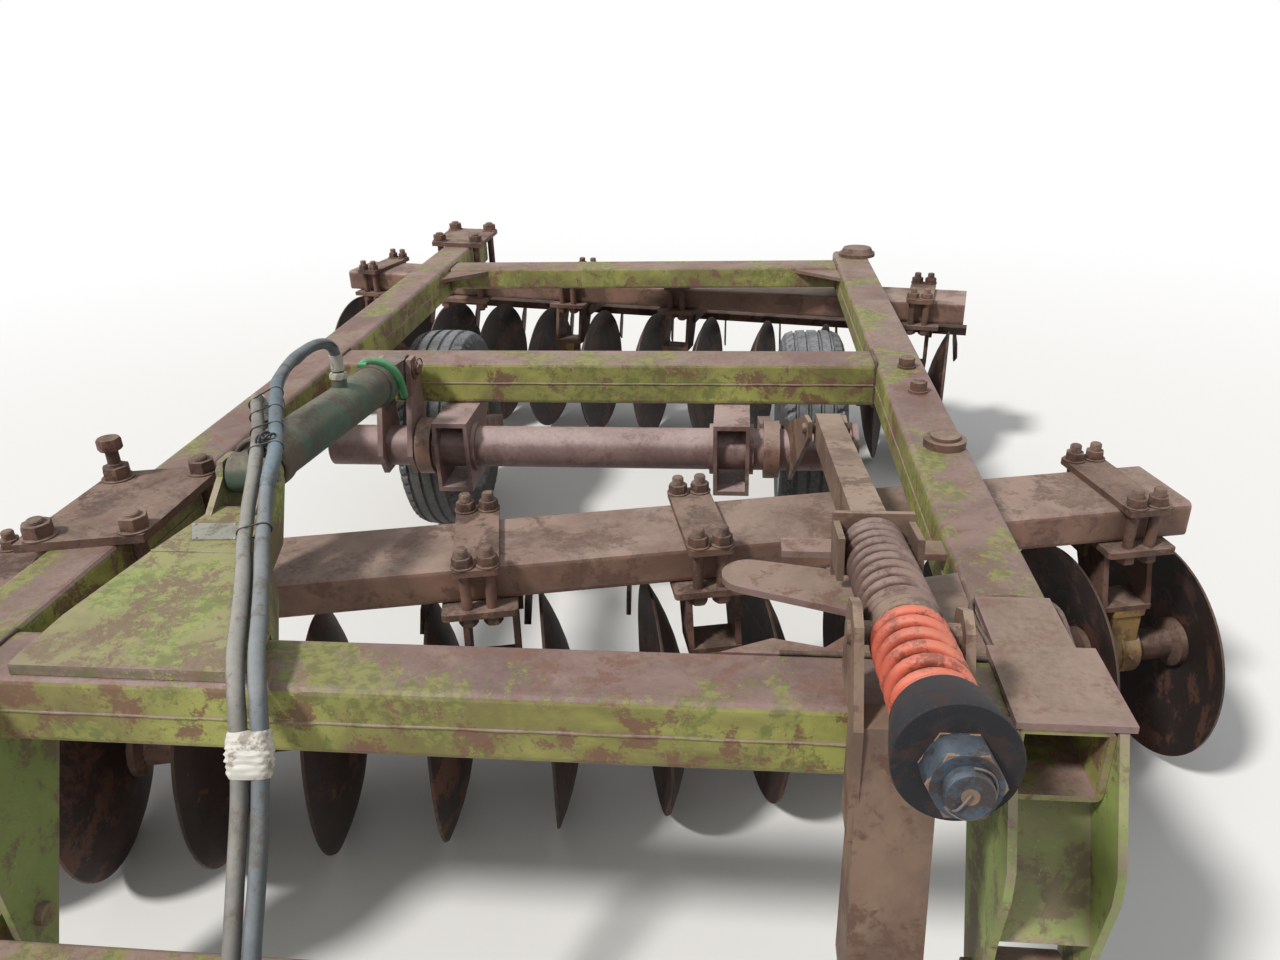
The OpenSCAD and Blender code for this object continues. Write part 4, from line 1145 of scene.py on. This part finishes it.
def strip(path: Points, across: Sequence[float], width: float, thick: float) -> Skin:
    """A flat bar bent along a path: a round-edged rectangle carried with its width along one direction.

    Args:
        path: the points of its middle line.
        across: the direction of its width.
        width: its width.
        thick: its thickness.

    Returns:
        The surface.
    """
    ahead = np.gradient(path, axis=0)
    ahead /= np.linalg.norm(ahead, axis=1, keepdims=True)
    flat = np.asarray(across, float)
    wide = flat - ahead * (ahead @ flat)[:, None]
    wide /= np.linalg.norm(wide, axis=1, keepdims=True)
    rise = np.cross(ahead, wide)
    shape = rounded(width, thick, thick * 0.4)
    return shell(path[:, None] + shape[None, :, :1] * wide[:, None] + shape[None, :, 1:] * rise[:, None])


@dataclass(frozen=True)
class Welds:
    """Weld beads where the frame's members meet."""

    member_x: float = 720.0
    member_z: float = 702.5
    radius: float = 4.2
    step: float = 0.0028

    def bead(self, path: Points, radius: float, loop: bool = False) -> Skin:
        """A bead whose radius swells and falls once every 8 mm, with slow waver.

        Args:
            path: its points.
            radius: its least radius, in millimetres.
            loop: it closes on itself.

        Returns:
            The surface.
        """
        run = np.arange(len(path))
        swell = 1.0 + 0.16 * np.abs(np.sin(run * 1.12))
        swell = swell + 0.10 * np.sin(run * 0.19) + 0.06 * np.sin(run * 0.53 + 1.0)
        return tube(path, swell * radius / 1000.0, 8, loop)

    def rim(self, side: int, y: float, wide: float, high: float, z: float) -> Skin:
        """The bead round the end of a cross beam.

        Args:
            side: one on the right, minus one on the left.
            y: where the beam's middle lies.
            wide: the beam's width.
            high: the beam's height.
            z: how high the beam's middle lies.

        Returns:
            The surface.
        """
        flat = rounded(wide + 3.0, high + 3.0, 13.0)
        x = np.full(len(flat), side * (self.member_x - 1.0))
        ring = np.column_stack([x, y + flat[:, 0], z + flat[:, 1]])
        return self.bead(smooth(metres(ring), self.step, True), self.radius, True)

    def seam(self, start: Sequence[float], end: Sequence[float], radius: float = 2.3) -> Skin:
        """A straight bead between two points of the drawing.

        Args:
            start: where it starts.
            end: where it ends.
            radius: its least radius, in millimetres.

        Returns:
            The surface.
        """
        a, b = metres([start, end])
        count = max(8, int(np.linalg.norm(b - a) / self.step))
        part = np.linspace(0.0, 1.0, count)[:, None]
        waver = 0.0004 * np.sin(part * count * 0.11) * UP
        return self.bead(a + (b - a) * part + waver, radius)

    def build(self, shop: Workshop) -> None:
        """Makes every bead of the frame.

        Args:
            shop: the workshop that makes the pieces.
        """
        beams = ((-1338.0, 120.0, 115.0, 702.5), (59.0, 118.0, 115.0, 702.5), (1201.0, 116.0, 78.0, 709.0))
        rims = [self.rim(side, *beam) for beam in beams for side in (-1, 1)]
        x, z = self.member_x, self.member_z
        seams = [self.seam((-x, y, z), (x, y, z)) for y in (-1398.0, -1278.0, 0.0, 118.0)]
        for side, rear in ((-1, 1736.0), (1, 1344.0)):
            seams.append(self.seam((side * (x + 120.0), -1418.0, z), (side * (x + 120.0), rear - 4.0, z)))
            seams += [
                self.seam((side * x, a, z), (side * x, b, z))
                for a, b in ((-1274.0, -4.0), (122.0, 1139.0), (1263.0, rear - 4.0))
            ]
        plate_z = 761.5
        edge = [(718, -1277), (725, -1260), (725, -1132), (838, -1132), (838, -1255), (860, -1262)]
        corner = self.bead(smooth(metres([(a, b, plate_z) for a, b in edge]), self.step), 3.4)
        flank = metres([(718, -1276, 759), (600, -1276.5, 759), (430, -1276.5, 759)])
        gusset = self.bead(smooth(flank, self.step), 3.6)
        beads = (
            ("frame_rims", rims, Finish.WELD),
            ("frame_seams", seams, Finish.FRAME),
            ("plate_beads", [corner, gusset], Finish.WELD),
        )
        for name, skins, finish in beads:
            shop.piece(name, Skin.joined(skins), finish, "frame", crease=80.0)


@dataclass(frozen=True)
class Gang:
    """The place of a gang: its angle, where its beam crosses the middle, its hangers and its handing."""

    name: str
    angle: float
    cross_y: float
    hangers: tuple[float, ...]
    side: int

    def place(self) -> Matrix:
        """The gang's own frame: local X along the beam, local Y rearward of it."""
        cross = Matrix.Translation((0.0, self.cross_y / 1000.0 + SHIFT_Y, 0.0))
        return cross @ Matrix.Rotation(math.radians(self.angle), 4, "Z")


GANGS = (
    Gang("front", 12.85, -701.0, (-1070.0, -158.0, 298.0, 1210.0), 1),
    Gang("rear", -12.8, 1451.0, (-1213.0, -301.0, 155.0, 1067.0), -1),
)


@dataclass(frozen=True)
class Fasteners:
    """Nuts with chamfers, washers and threads over the plain ones of the hangers and clamps."""

    pitch: float = 0.003
    plate_z: float = 0.6406
    under_z: float = 0.5118
    clamp_x: float = -780.0
    clamp_z: float = 776.4
    clamp_half: float = 100.0
    proud_z: float = 808.0

    def stud(self, across: float, nut: float, bolt: float, out: float) -> Skin:
        """A nut on its washer with the threaded end of its bolt, standing at local z = 0.

        Args:
            across: width over the nut's flats.
            nut: height of the nut.
            bolt: radius of the bolt.
            out: length of thread above the nut.

        Returns:
            The surface.
        """
        rim = ((0.66, -0.0002), (0.67, 0.0008), (0.67, 0.0026), (0.65, 0.0032))
        washer = turned([(across * part, z) for part, z in rim], 36)
        body = hexagon(across, nut, bolt * 1.08).moved(Matrix.Rotation(TAU / 12, 4, "Z"))
        steps = np.arange(0.0, out, self.pitch / 4.0)
        tooth = np.abs(((steps / self.pitch) % 1.0) * 2.0 - 1.0)
        profile = np.column_stack([bolt + 0.0004 + 0.0012 * tooth, nut - 0.001 + steps])
        top = np.array([[bolt - 0.0004, nut + out + 0.0008], [bolt * 0.8, nut + out + 0.0016]])
        return Skin.joined([washer, body, turned(np.concatenate([profile, top]), 24)])

    def proud_bolt(self) -> Skin:
        """The bolt that stands out of the front clamp: its bare shank under its head."""
        shank = turned([(0.0118, 0.0), (0.0122, 0.002), (0.0122, 0.032)], 24)
        return Skin.joined([shank, hexagon(0.0400, 0.0240).moved(Matrix.Translation((0.0, 0.0, 0.0300)))])

    def on_clamp(self, gang: Gang) -> list[Skin]:
        """The nuts on the four corners of a gang's clamp, and the front one's proud bolt.

        Args:
            gang: the gang that the clamp holds.

        Returns:
            Their surfaces.
        """
        slope = math.tan(math.radians(gang.angle))
        reach = self.clamp_half * math.sqrt(1 + slope * slope) + 19.0
        nut = self.stud(0.0462, 0.0264, 0.013, 0.0064)
        spots = [(x, y, self.clamp_z) for x in (-79.0, 79.0) for y in (-reach, reach)]
        skins = [nut] * len(spots)
        if gang.side > 0:
            spots.append((-79.0, reach, self.proud_z))
            skins.append(self.proud_bolt())
        middle = (self.clamp_x, gang.cross_y + self.clamp_x * slope)
        places = metres([(middle[0] + x, middle[1] + y + slope * x, z) for x, y, z in spots])
        return [skin.moved(Matrix.Translation(Vector(spot.tolist()))) for skin, spot in zip(skins, places)]

    def build(self, shop: Workshop) -> None:
        """Makes the fasteners of both gangs and both clamps.

        Args:
            shop: the workshop that makes the pieces.
        """
        hanger_nut = self.stud(0.0356, 0.0206, 0.011, 0.0165)
        under_nut = hexagon(0.0338, 0.0186).moved(Matrix.Rotation(TAU / 12, 4, "Z"))
        for gang in GANGS:
            spots = [(t + dx, dy) for t in gang.hangers for dx in (-24.0, 24.0) for dy in (-120.0, 120.0)]
            hung = [
                nut.moved(gang.place() @ Matrix.Translation((x / 1000, y / 1000, z)))
                for nut, z in ((hanger_nut, self.plate_z), (under_nut, self.under_z)) for x, y in spots
            ]
            for name, skins in (("hanger_nuts", hung), ("clamp_nuts", self.on_clamp(gang))):
                skin = Skin.joined(skins)
                shop.piece(f"{gang.name}_{name}", skin, Finish.IRON, "frame", crease=30.0)


@dataclass(frozen=True)
class Bearings:
    """Rolled rims, cap bolts and grease nipples of the cast bearing housings."""

    half: float = 0.040
    shift: float = 25.0
    axle: tuple[float, float] = (-0.065, 0.250)
    seam_r: float = 0.056
    lip_r: float = 0.0505
    bolts_r: float = 0.0455

    def housing(self, hanger: float, side: int) -> list[Skin]:
        """What is on one housing, in its gang's frame.

        Args:
            hanger: where the hanger stands along its beam, in millimetres.
            side: the gang's handing.

        Returns:
            Its surfaces.
        """
        x = (hanger + self.shift * side) / 1000.0
        y, z = self.axle
        skins = []
        for end in (-1, 1):
            face = x + end * self.half
            skins.append(tube(circle((face, y, z), (0, 1, 0), (0, 0, 1), self.lip_r), 0.0048, 8, loop=True))
            for turn in np.radians((45.0, 135.0, 225.0, 315.0)):
                across, high = self.bolts_r * math.cos(turn), self.bolts_r * math.sin(turn)
                spot = (face + end * 0.0002, y + across, z + high)
                skins.append(hexagon(0.011, 0.0055).moved(frame_at(spot, (end, 0, 0), (0, 1, 0))))
        shape = ((0.0045, 0.0), (0.0045, 0.006), (0.0028, 0.0075), (0.0034, 0.0105), (0.0018, 0.013))
        nipple = turned(shape, 16).moved(frame_at((x + 0.012, y - 0.0550, z + 0.012), (0, -1, 0.2)))
        seam = tube(circle((x, y, z), (0, 1, 0), (0, 0, 1), self.seam_r), 0.0042, 8, loop=True)
        return [*skins, nipple, seam]

    def build(self, shop: Workshop) -> None:
        """Makes one piece for each gang.

        Args:
            shop: the workshop that makes the pieces.
        """
        for gang in GANGS:
            skins = [s.moved(gang.place()) for t in gang.hangers for s in self.housing(t, gang.side)]
            trim = Skin.joined(skins)
            shop.piece(f"{gang.name}_bearing_trim", trim, Finish.OCHRE, "frame")


def unit(value: Points) -> Points:
    """Values held between none and one."""
    return np.clip(value, 0.0, 1.0)


@dataclass(frozen=True)
class Tyres:
    """The implement tyres: ribs round the crown and blocks along the shoulders."""

    blocks: int = 56
    depth: float = 0.007
    grooves: tuple[float, ...] = (-0.056, -0.019, 0.019, 0.056)
    wheel_x: float = 0.602
    wheel_y: float = 0.596
    crown: tuple[tuple[float, float], ...] = (
        (0.03, 0.3298), (0.0625, 0.3275), (0.0845, 0.318), (0.0965, 0.296), (0.1025, 0.262),
    )
    bead: tuple[tuple[float, float], ...] = (
        (0.1012, 0.245), (0.0995, 0.225), (0.0955, 0.212), (0.0905, 0.200), (0.0805, 0.1920),
    )

    def cut(self, wide: Points, angle: Points) -> Points:
        """How far the tread is cut down at every width and angle, as a part of its depth.

        Across the crown it is a smooth dip at each groove, with a rib in it. Past the outer grooves
        it is a square wave of the angle, so that blocks stand along each shoulder.

        Args:
            wide: places across the tyre.
            angle: angles round it, one a row.

        Returns:
            One value for each angle and width.
        """
        out = np.abs(wide)
        dip = np.zeros_like(wide)
        for groove in self.grooves:
            dip = np.maximum(dip, unit((0.0052 - np.abs(wide - groove)) / 0.0018))
        shoulder = unit((out - 0.060) / 0.004) * unit((0.099 - out) / 0.006)
        wave = unit((np.cos(self.blocks * (angle + wide * 1.6)) - 0.45) * 5.0)
        rib = 0.35 * unit(np.sin(self.blocks * 2 * angle) * 2.0) * unit((0.058 - out) / 0.003)
        return np.maximum(dip * (1.0 - 0.2 * rib), shoulder * wave)

    def skin(self) -> Skin:
        """A lathe form about local X: radius as a broken line over width, less the tread's depth.

        Returns:
            The surface, about the wheel's middle.
        """
        (half_w, half_r), (bead_w, bead_r) = (np.array(line).T for line in (self.crown, self.bead))
        side = np.linspace(0.262, 0.296, 8)[:-1]
        wall = 0.1025 - (side - 0.262) / 0.034 * 0.006
        wide = np.concatenate([-wall, np.linspace(-0.0965, 0.0965, 79), wall[::-1]])
        knots = np.concatenate([-half_w[::-1], half_w]), np.concatenate([half_r[::-1], half_r])
        angle = np.linspace(0.0, TAU, self.blocks * 6, endpoint=False)[:, None]
        outer = np.interp(wide, *knots) - self.cut(wide, angle) * self.depth
        inner = np.concatenate([bead_r, bead_r[::-1]])
        across = np.concatenate([wide, bead_w, -bead_w[::-1]])
        reach = np.concatenate([outer, np.broadcast_to(inner, (len(angle), len(inner)))], 1)
        rings = [np.broadcast_to(across, reach.shape), reach * np.cos(angle), reach * np.sin(angle)]
        return shell(np.stack(rings, -1), True)

    def build(self, shop: Workshop) -> None:
        """Makes both tyres in place of the plain ones.

        Args:
            shop: the workshop that makes the pieces.
        """
        skin = self.skin()
        for side, x in (("left", -self.wheel_x), ("right", self.wheel_x)):
            tyre = skin.moved(Matrix.Translation((x, self.wheel_y + SHIFT_Y, 0.330)))
            body, node = f"{side}_wheel", f"{side}_tyre"
            shop.piece(f"{node}_tread", tyre, Finish.TYRE, body, (node,), 44.0)


@dataclass(frozen=True)
class Trim:
    """Small things on the bracket and the cylinder: blank plate, pin, green hook, nuts and rings."""

    def plate(self, shop: Workshop) -> None:
        """The blank plate on the bracket's cover and its rivets.

        Args:
            shop: the workshop that makes the pieces.
        """
        corners = np.array([(-579, -1003), (-494, -999), (-467, -1056), (-548, -1060)]) / 1000.0
        centre = corners.mean(0)
        lean = Matrix.Rotation(math.radians(0.8), 4, "X")
        place = Matrix.Translation((centre[0], centre[1] + SHIFT_Y, 0.7983)) @ lean
        skins = [slab((corners - centre).tolist(), 0.0014, 0.0004)]
        dome = turned([(0.0034, 0.0), (0.0033, 0.0010), (0.0022, 0.0019), (0.0008, 0.0022)], 16)
        for corner in (corners - centre) * 0.84:
            skins.append(dome.moved(Matrix.Translation((corner[0], corner[1], 0.0014))))
        shop.piece("bracket_plate", Skin.joined(skins).moved(place), Finish.PLATE, "frame")
        seam = Welds().seam((-600.0, -1097.0, 797.0), (-398.0, -1097.0, 797.0), 2.0)
        shop.piece("bracket_seam", seam, Finish.BRACKET, "frame", crease=80.0)

    def strap(self, shop: Workshop) -> None:
        """The green hook over the barrel's rear end: a thick flat bar that bends down beside it.

        Args:
            shop: the workshop that makes the pieces.
        """
        turn = np.radians(np.linspace(112.0, 8.0, 24))
        along = -224.0 + 18.0 * np.linspace(0, 1, 24)
        arc = np.column_stack([-526.0 + 60.0 * np.cos(turn), along, 777.0 + 60.0 * np.sin(turn)])
        fall = np.linspace((-465.5, -203.0, 776.0), (-464.5, -192.0, 736.0), 5)
        path = smooth(metres(np.concatenate([arc, fall])), 0.004)
        lug = slab([(-0.012, -0.016), (0.012, -0.016), (0.013, 0.012), (-0.011, 0.016)], 0.012, 0.003)
        root = frame_at(metres([(-543.0, -226.0, 826.0)])[0], (0.0, 0.0, 1.0))
        skins = [strip(path, (0.0, 1.0, 0.0), 0.021, 0.016), lug.moved(root)]
        hook = Skin.joined(skins)
        shop.piece("barrel_strap", hook, Finish.STRAP, "cylinder_barrel", crease=50.0)

    def ports(self, shop: Workshop) -> None:
        """Port nuts and the clamp rings of the cylinder, in line with its slope.

        Args:
            shop: the workshop that makes the pieces.
        """
        slope = math.atan2(760.0 - 838.0, -56.0 + 874.0)
        place = Matrix.Translation((-0.526, -0.874 + SHIFT_Y, 0.838)) @ Matrix.Rotation(slope, 4, "X")
        nuts = [
            hexagon(0.0345, high).moved(Matrix.Translation(spot)).moved(place)
            for high, spot in ((0.0150, (0.0, 0.447, 0.0668)), (0.0140, (-0.079, 0.233, 0.0340)))
        ]
        shop.piece("port_nuts", Skin.joined(nuts), Finish.FITTING, "cylinder_barrel")
        sizes = (
            (0.084, 0.0508, 0.004), (0.632, 0.0508, 0.004), (0.6715, 0.042, 0.005), (0.046, 0.05, 0.005),
        )
        rings = [
            tube(circle((0.0, along, 0.0), (1, 0, 0), (0, 0, 1), radius, 64), thick, 8, loop=True)
            for along, radius, thick in sizes
        ]
        hoops = Skin.joined(rings).moved(place)
        shop.piece("barrel_rings", hoops, Finish.CYLINDER, "cylinder_barrel")

    def crank_pin(self, shop: Workshop) -> None:
        """Washers, end caps and the ring pin on the crank's pin.

        Args:
            shop: the workshop that makes the pieces.
        """
        washer = turned([(0.0145, 0.0), (0.025, 0.0), (0.0255, 0.0012), (0.025, 0.0038), (0.0145, 0.004)], 40)
        cap = turned([(0.0146, 0.0140), (0.0146, 0.0146), (0.0125, 0.0156), (0.0040, 0.0160)], 32)
        skins = []
        for side in (-1, 1):
            face = frame_at(metres([(-526.0 + side * 47.4, -56.0, 760.0)])[0], (side, 0, 0), (0, 1, 0))
            skins += [washer.moved(face), cap.moved(face)]
        ring = circle(metres([(-466.0, -56.0, 772.0)])[0], (0.25, 0.97, 0.0), (0.1, 0.0, 1.0), 0.0170, 48)
        skins.append(tube(ring, 0.0019, 8, loop=True))
        shop.piece("crank_pin_trim", Skin.joined(skins), Finish.IRON, "rockshaft")

    def build(self, shop: Workshop) -> None:
        """Makes them all.

        Args:
            shop: the workshop that makes the pieces.
        """
        self.plate(shop)
        self.crank_pin(shop)
        self.strap(shop)
        self.ports(shop)


class Studio:
    """The floor, the lamps and the camera at the photographed angle."""

    eye = (0.364, -1.521, 1.570)
    right = (0.99516008, 0.09425874, -0.02777965)
    down = (0.01506358, -0.42568188, -0.90474749)
    ahead = (-0.09710566, 0.89995012, -0.42504149)
    sensor = 36.0
    lens = 975.93 * sensor / 1280.0
    fade = (3.0, 7.0)
    sky_light = 0.45

    def camera(self) -> None:
        """Sets the camera: its axes are the image's right, up and back directions."""
        data = bpy.data.cameras.new("camera")
        data.lens = self.lens
        data.sensor_width = self.sensor
        data.clip_start, data.clip_end = 0.02, 200.0
        made = bpy.data.objects.new("camera", data)
        axes = np.array([self.right, -np.array(self.down), -np.array(self.ahead)]).T
        turn = Matrix(axes.tolist()).to_4x4()
        made.matrix_world = Matrix.Translation(self.eye) @ turn
        bpy.context.scene.collection.objects.link(made)
        bpy.context.scene.camera = made

    def floor(self) -> None:
        """Lays a pale floor under the wheels that fades to white away from the machine."""
        mesh = bpy.data.meshes.new("floor")
        corners = [(60.0 * x, 60.0 * y, 0) for x, y in ((-1, -1), (1, -1), (1, 1), (-1, 1))]
        mesh.from_pydata(corners, [], [(0, 1, 2, 3)])
        made = bpy.data.objects.new("floor", mesh)
        material = bpy.data.materials.new("floor_pale")
        material.use_nodes = True
        shader = material.node_tree.nodes["Principled BSDF"]
        shader.inputs["Base Color"].default_value = hexed("e6e3de")
        shader.inputs["Roughness"].default_value = 0.95
        g = Graph(material.node_tree)
        spot = g.node("ShaderNodeNewGeometry").outputs["Position"]
        away = g.node("ShaderNodeVectorMath", {0: spot}, operation="LENGTH").outputs["Value"]
        fade = g.calc("MULTIPLY", g.span(away, *self.fade), g.seen())
        white = g.node("ShaderNodeEmission", {"Color": (1.0, 1.0, 1.0, 1.0), "Strength": 1.0})
        both = g.node("ShaderNodeMixShader", {0: fade, 1: shader.outputs[0], 2: white.outputs[0]})
        g.put(material.node_tree.nodes["Material Output"].inputs["Surface"], both.outputs[0])
        mesh.materials.append(material)
        bpy.context.scene.collection.objects.link(made)

    @staticmethod
    def lamp(name: str, strength: float, spread: float, shines: Sequence[float]) -> None:
        """Hangs a lamp as wide as its spread in degrees, so far off that it lights all alike.

        Args:
            name: the lamp's name.
            strength: how bright it is.
            spread: how wide it looks from the machine.
            shines: the direction of its light.
        """
        data = bpy.data.lights.new(name, "SUN")
        data.energy, data.angle = strength, math.radians(spread)
        made = bpy.data.objects.new(name, data)
        made.rotation_mode = "QUATERNION"
        made.rotation_quaternion = Vector(shines).to_track_quat("-Z", "Y")
        bpy.context.scene.collection.objects.link(made)

    def sky(self) -> None:
        """A soft even sky that the camera sees as a pale backdrop."""
        world = bpy.data.worlds.new("sky")
        world.use_nodes = True
        g = Graph(world.node_tree)
        seen = g.seen()
        back = world.node_tree.nodes["Background"]
        g.put(back.inputs["Color"], g.mix(seen, (0.90, 0.95, 1.0, 1.0), (1.0, 1.0, 1.0, 1.0)))
        added = g.calc("MULTIPLY", seen, 1.0 - self.sky_light)
        g.put(back.inputs["Strength"], g.calc("ADD", self.sky_light, added))
        bpy.context.scene.world = world

    def build(self) -> None:
        """Sets up the whole studio."""
        self.camera()
        self.floor()
        self.lamp("key", 2.9, 8.0, (4.1, 3.5, -6.3))
        self.lamp("fill", 0.25, 60.0, (-5.0, 2.3, -3.7))
        self.sky()
        bpy.context.scene.view_settings.view_transform = "Standard"


def main() -> None:
    """Builds every part of the scene in order."""
    logging.basicConfig(level=logging.INFO, format="%(message)s")
    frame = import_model()
    Studio().build()
    shop = Workshop()
    shop.dress(frame)
    for made in (Hoses(), LevelLink(), Tyres(), Welds(), Fasteners(), Bearings(), Trim()):
        made.build(shop)


if __name__ == "__main__":
    main()
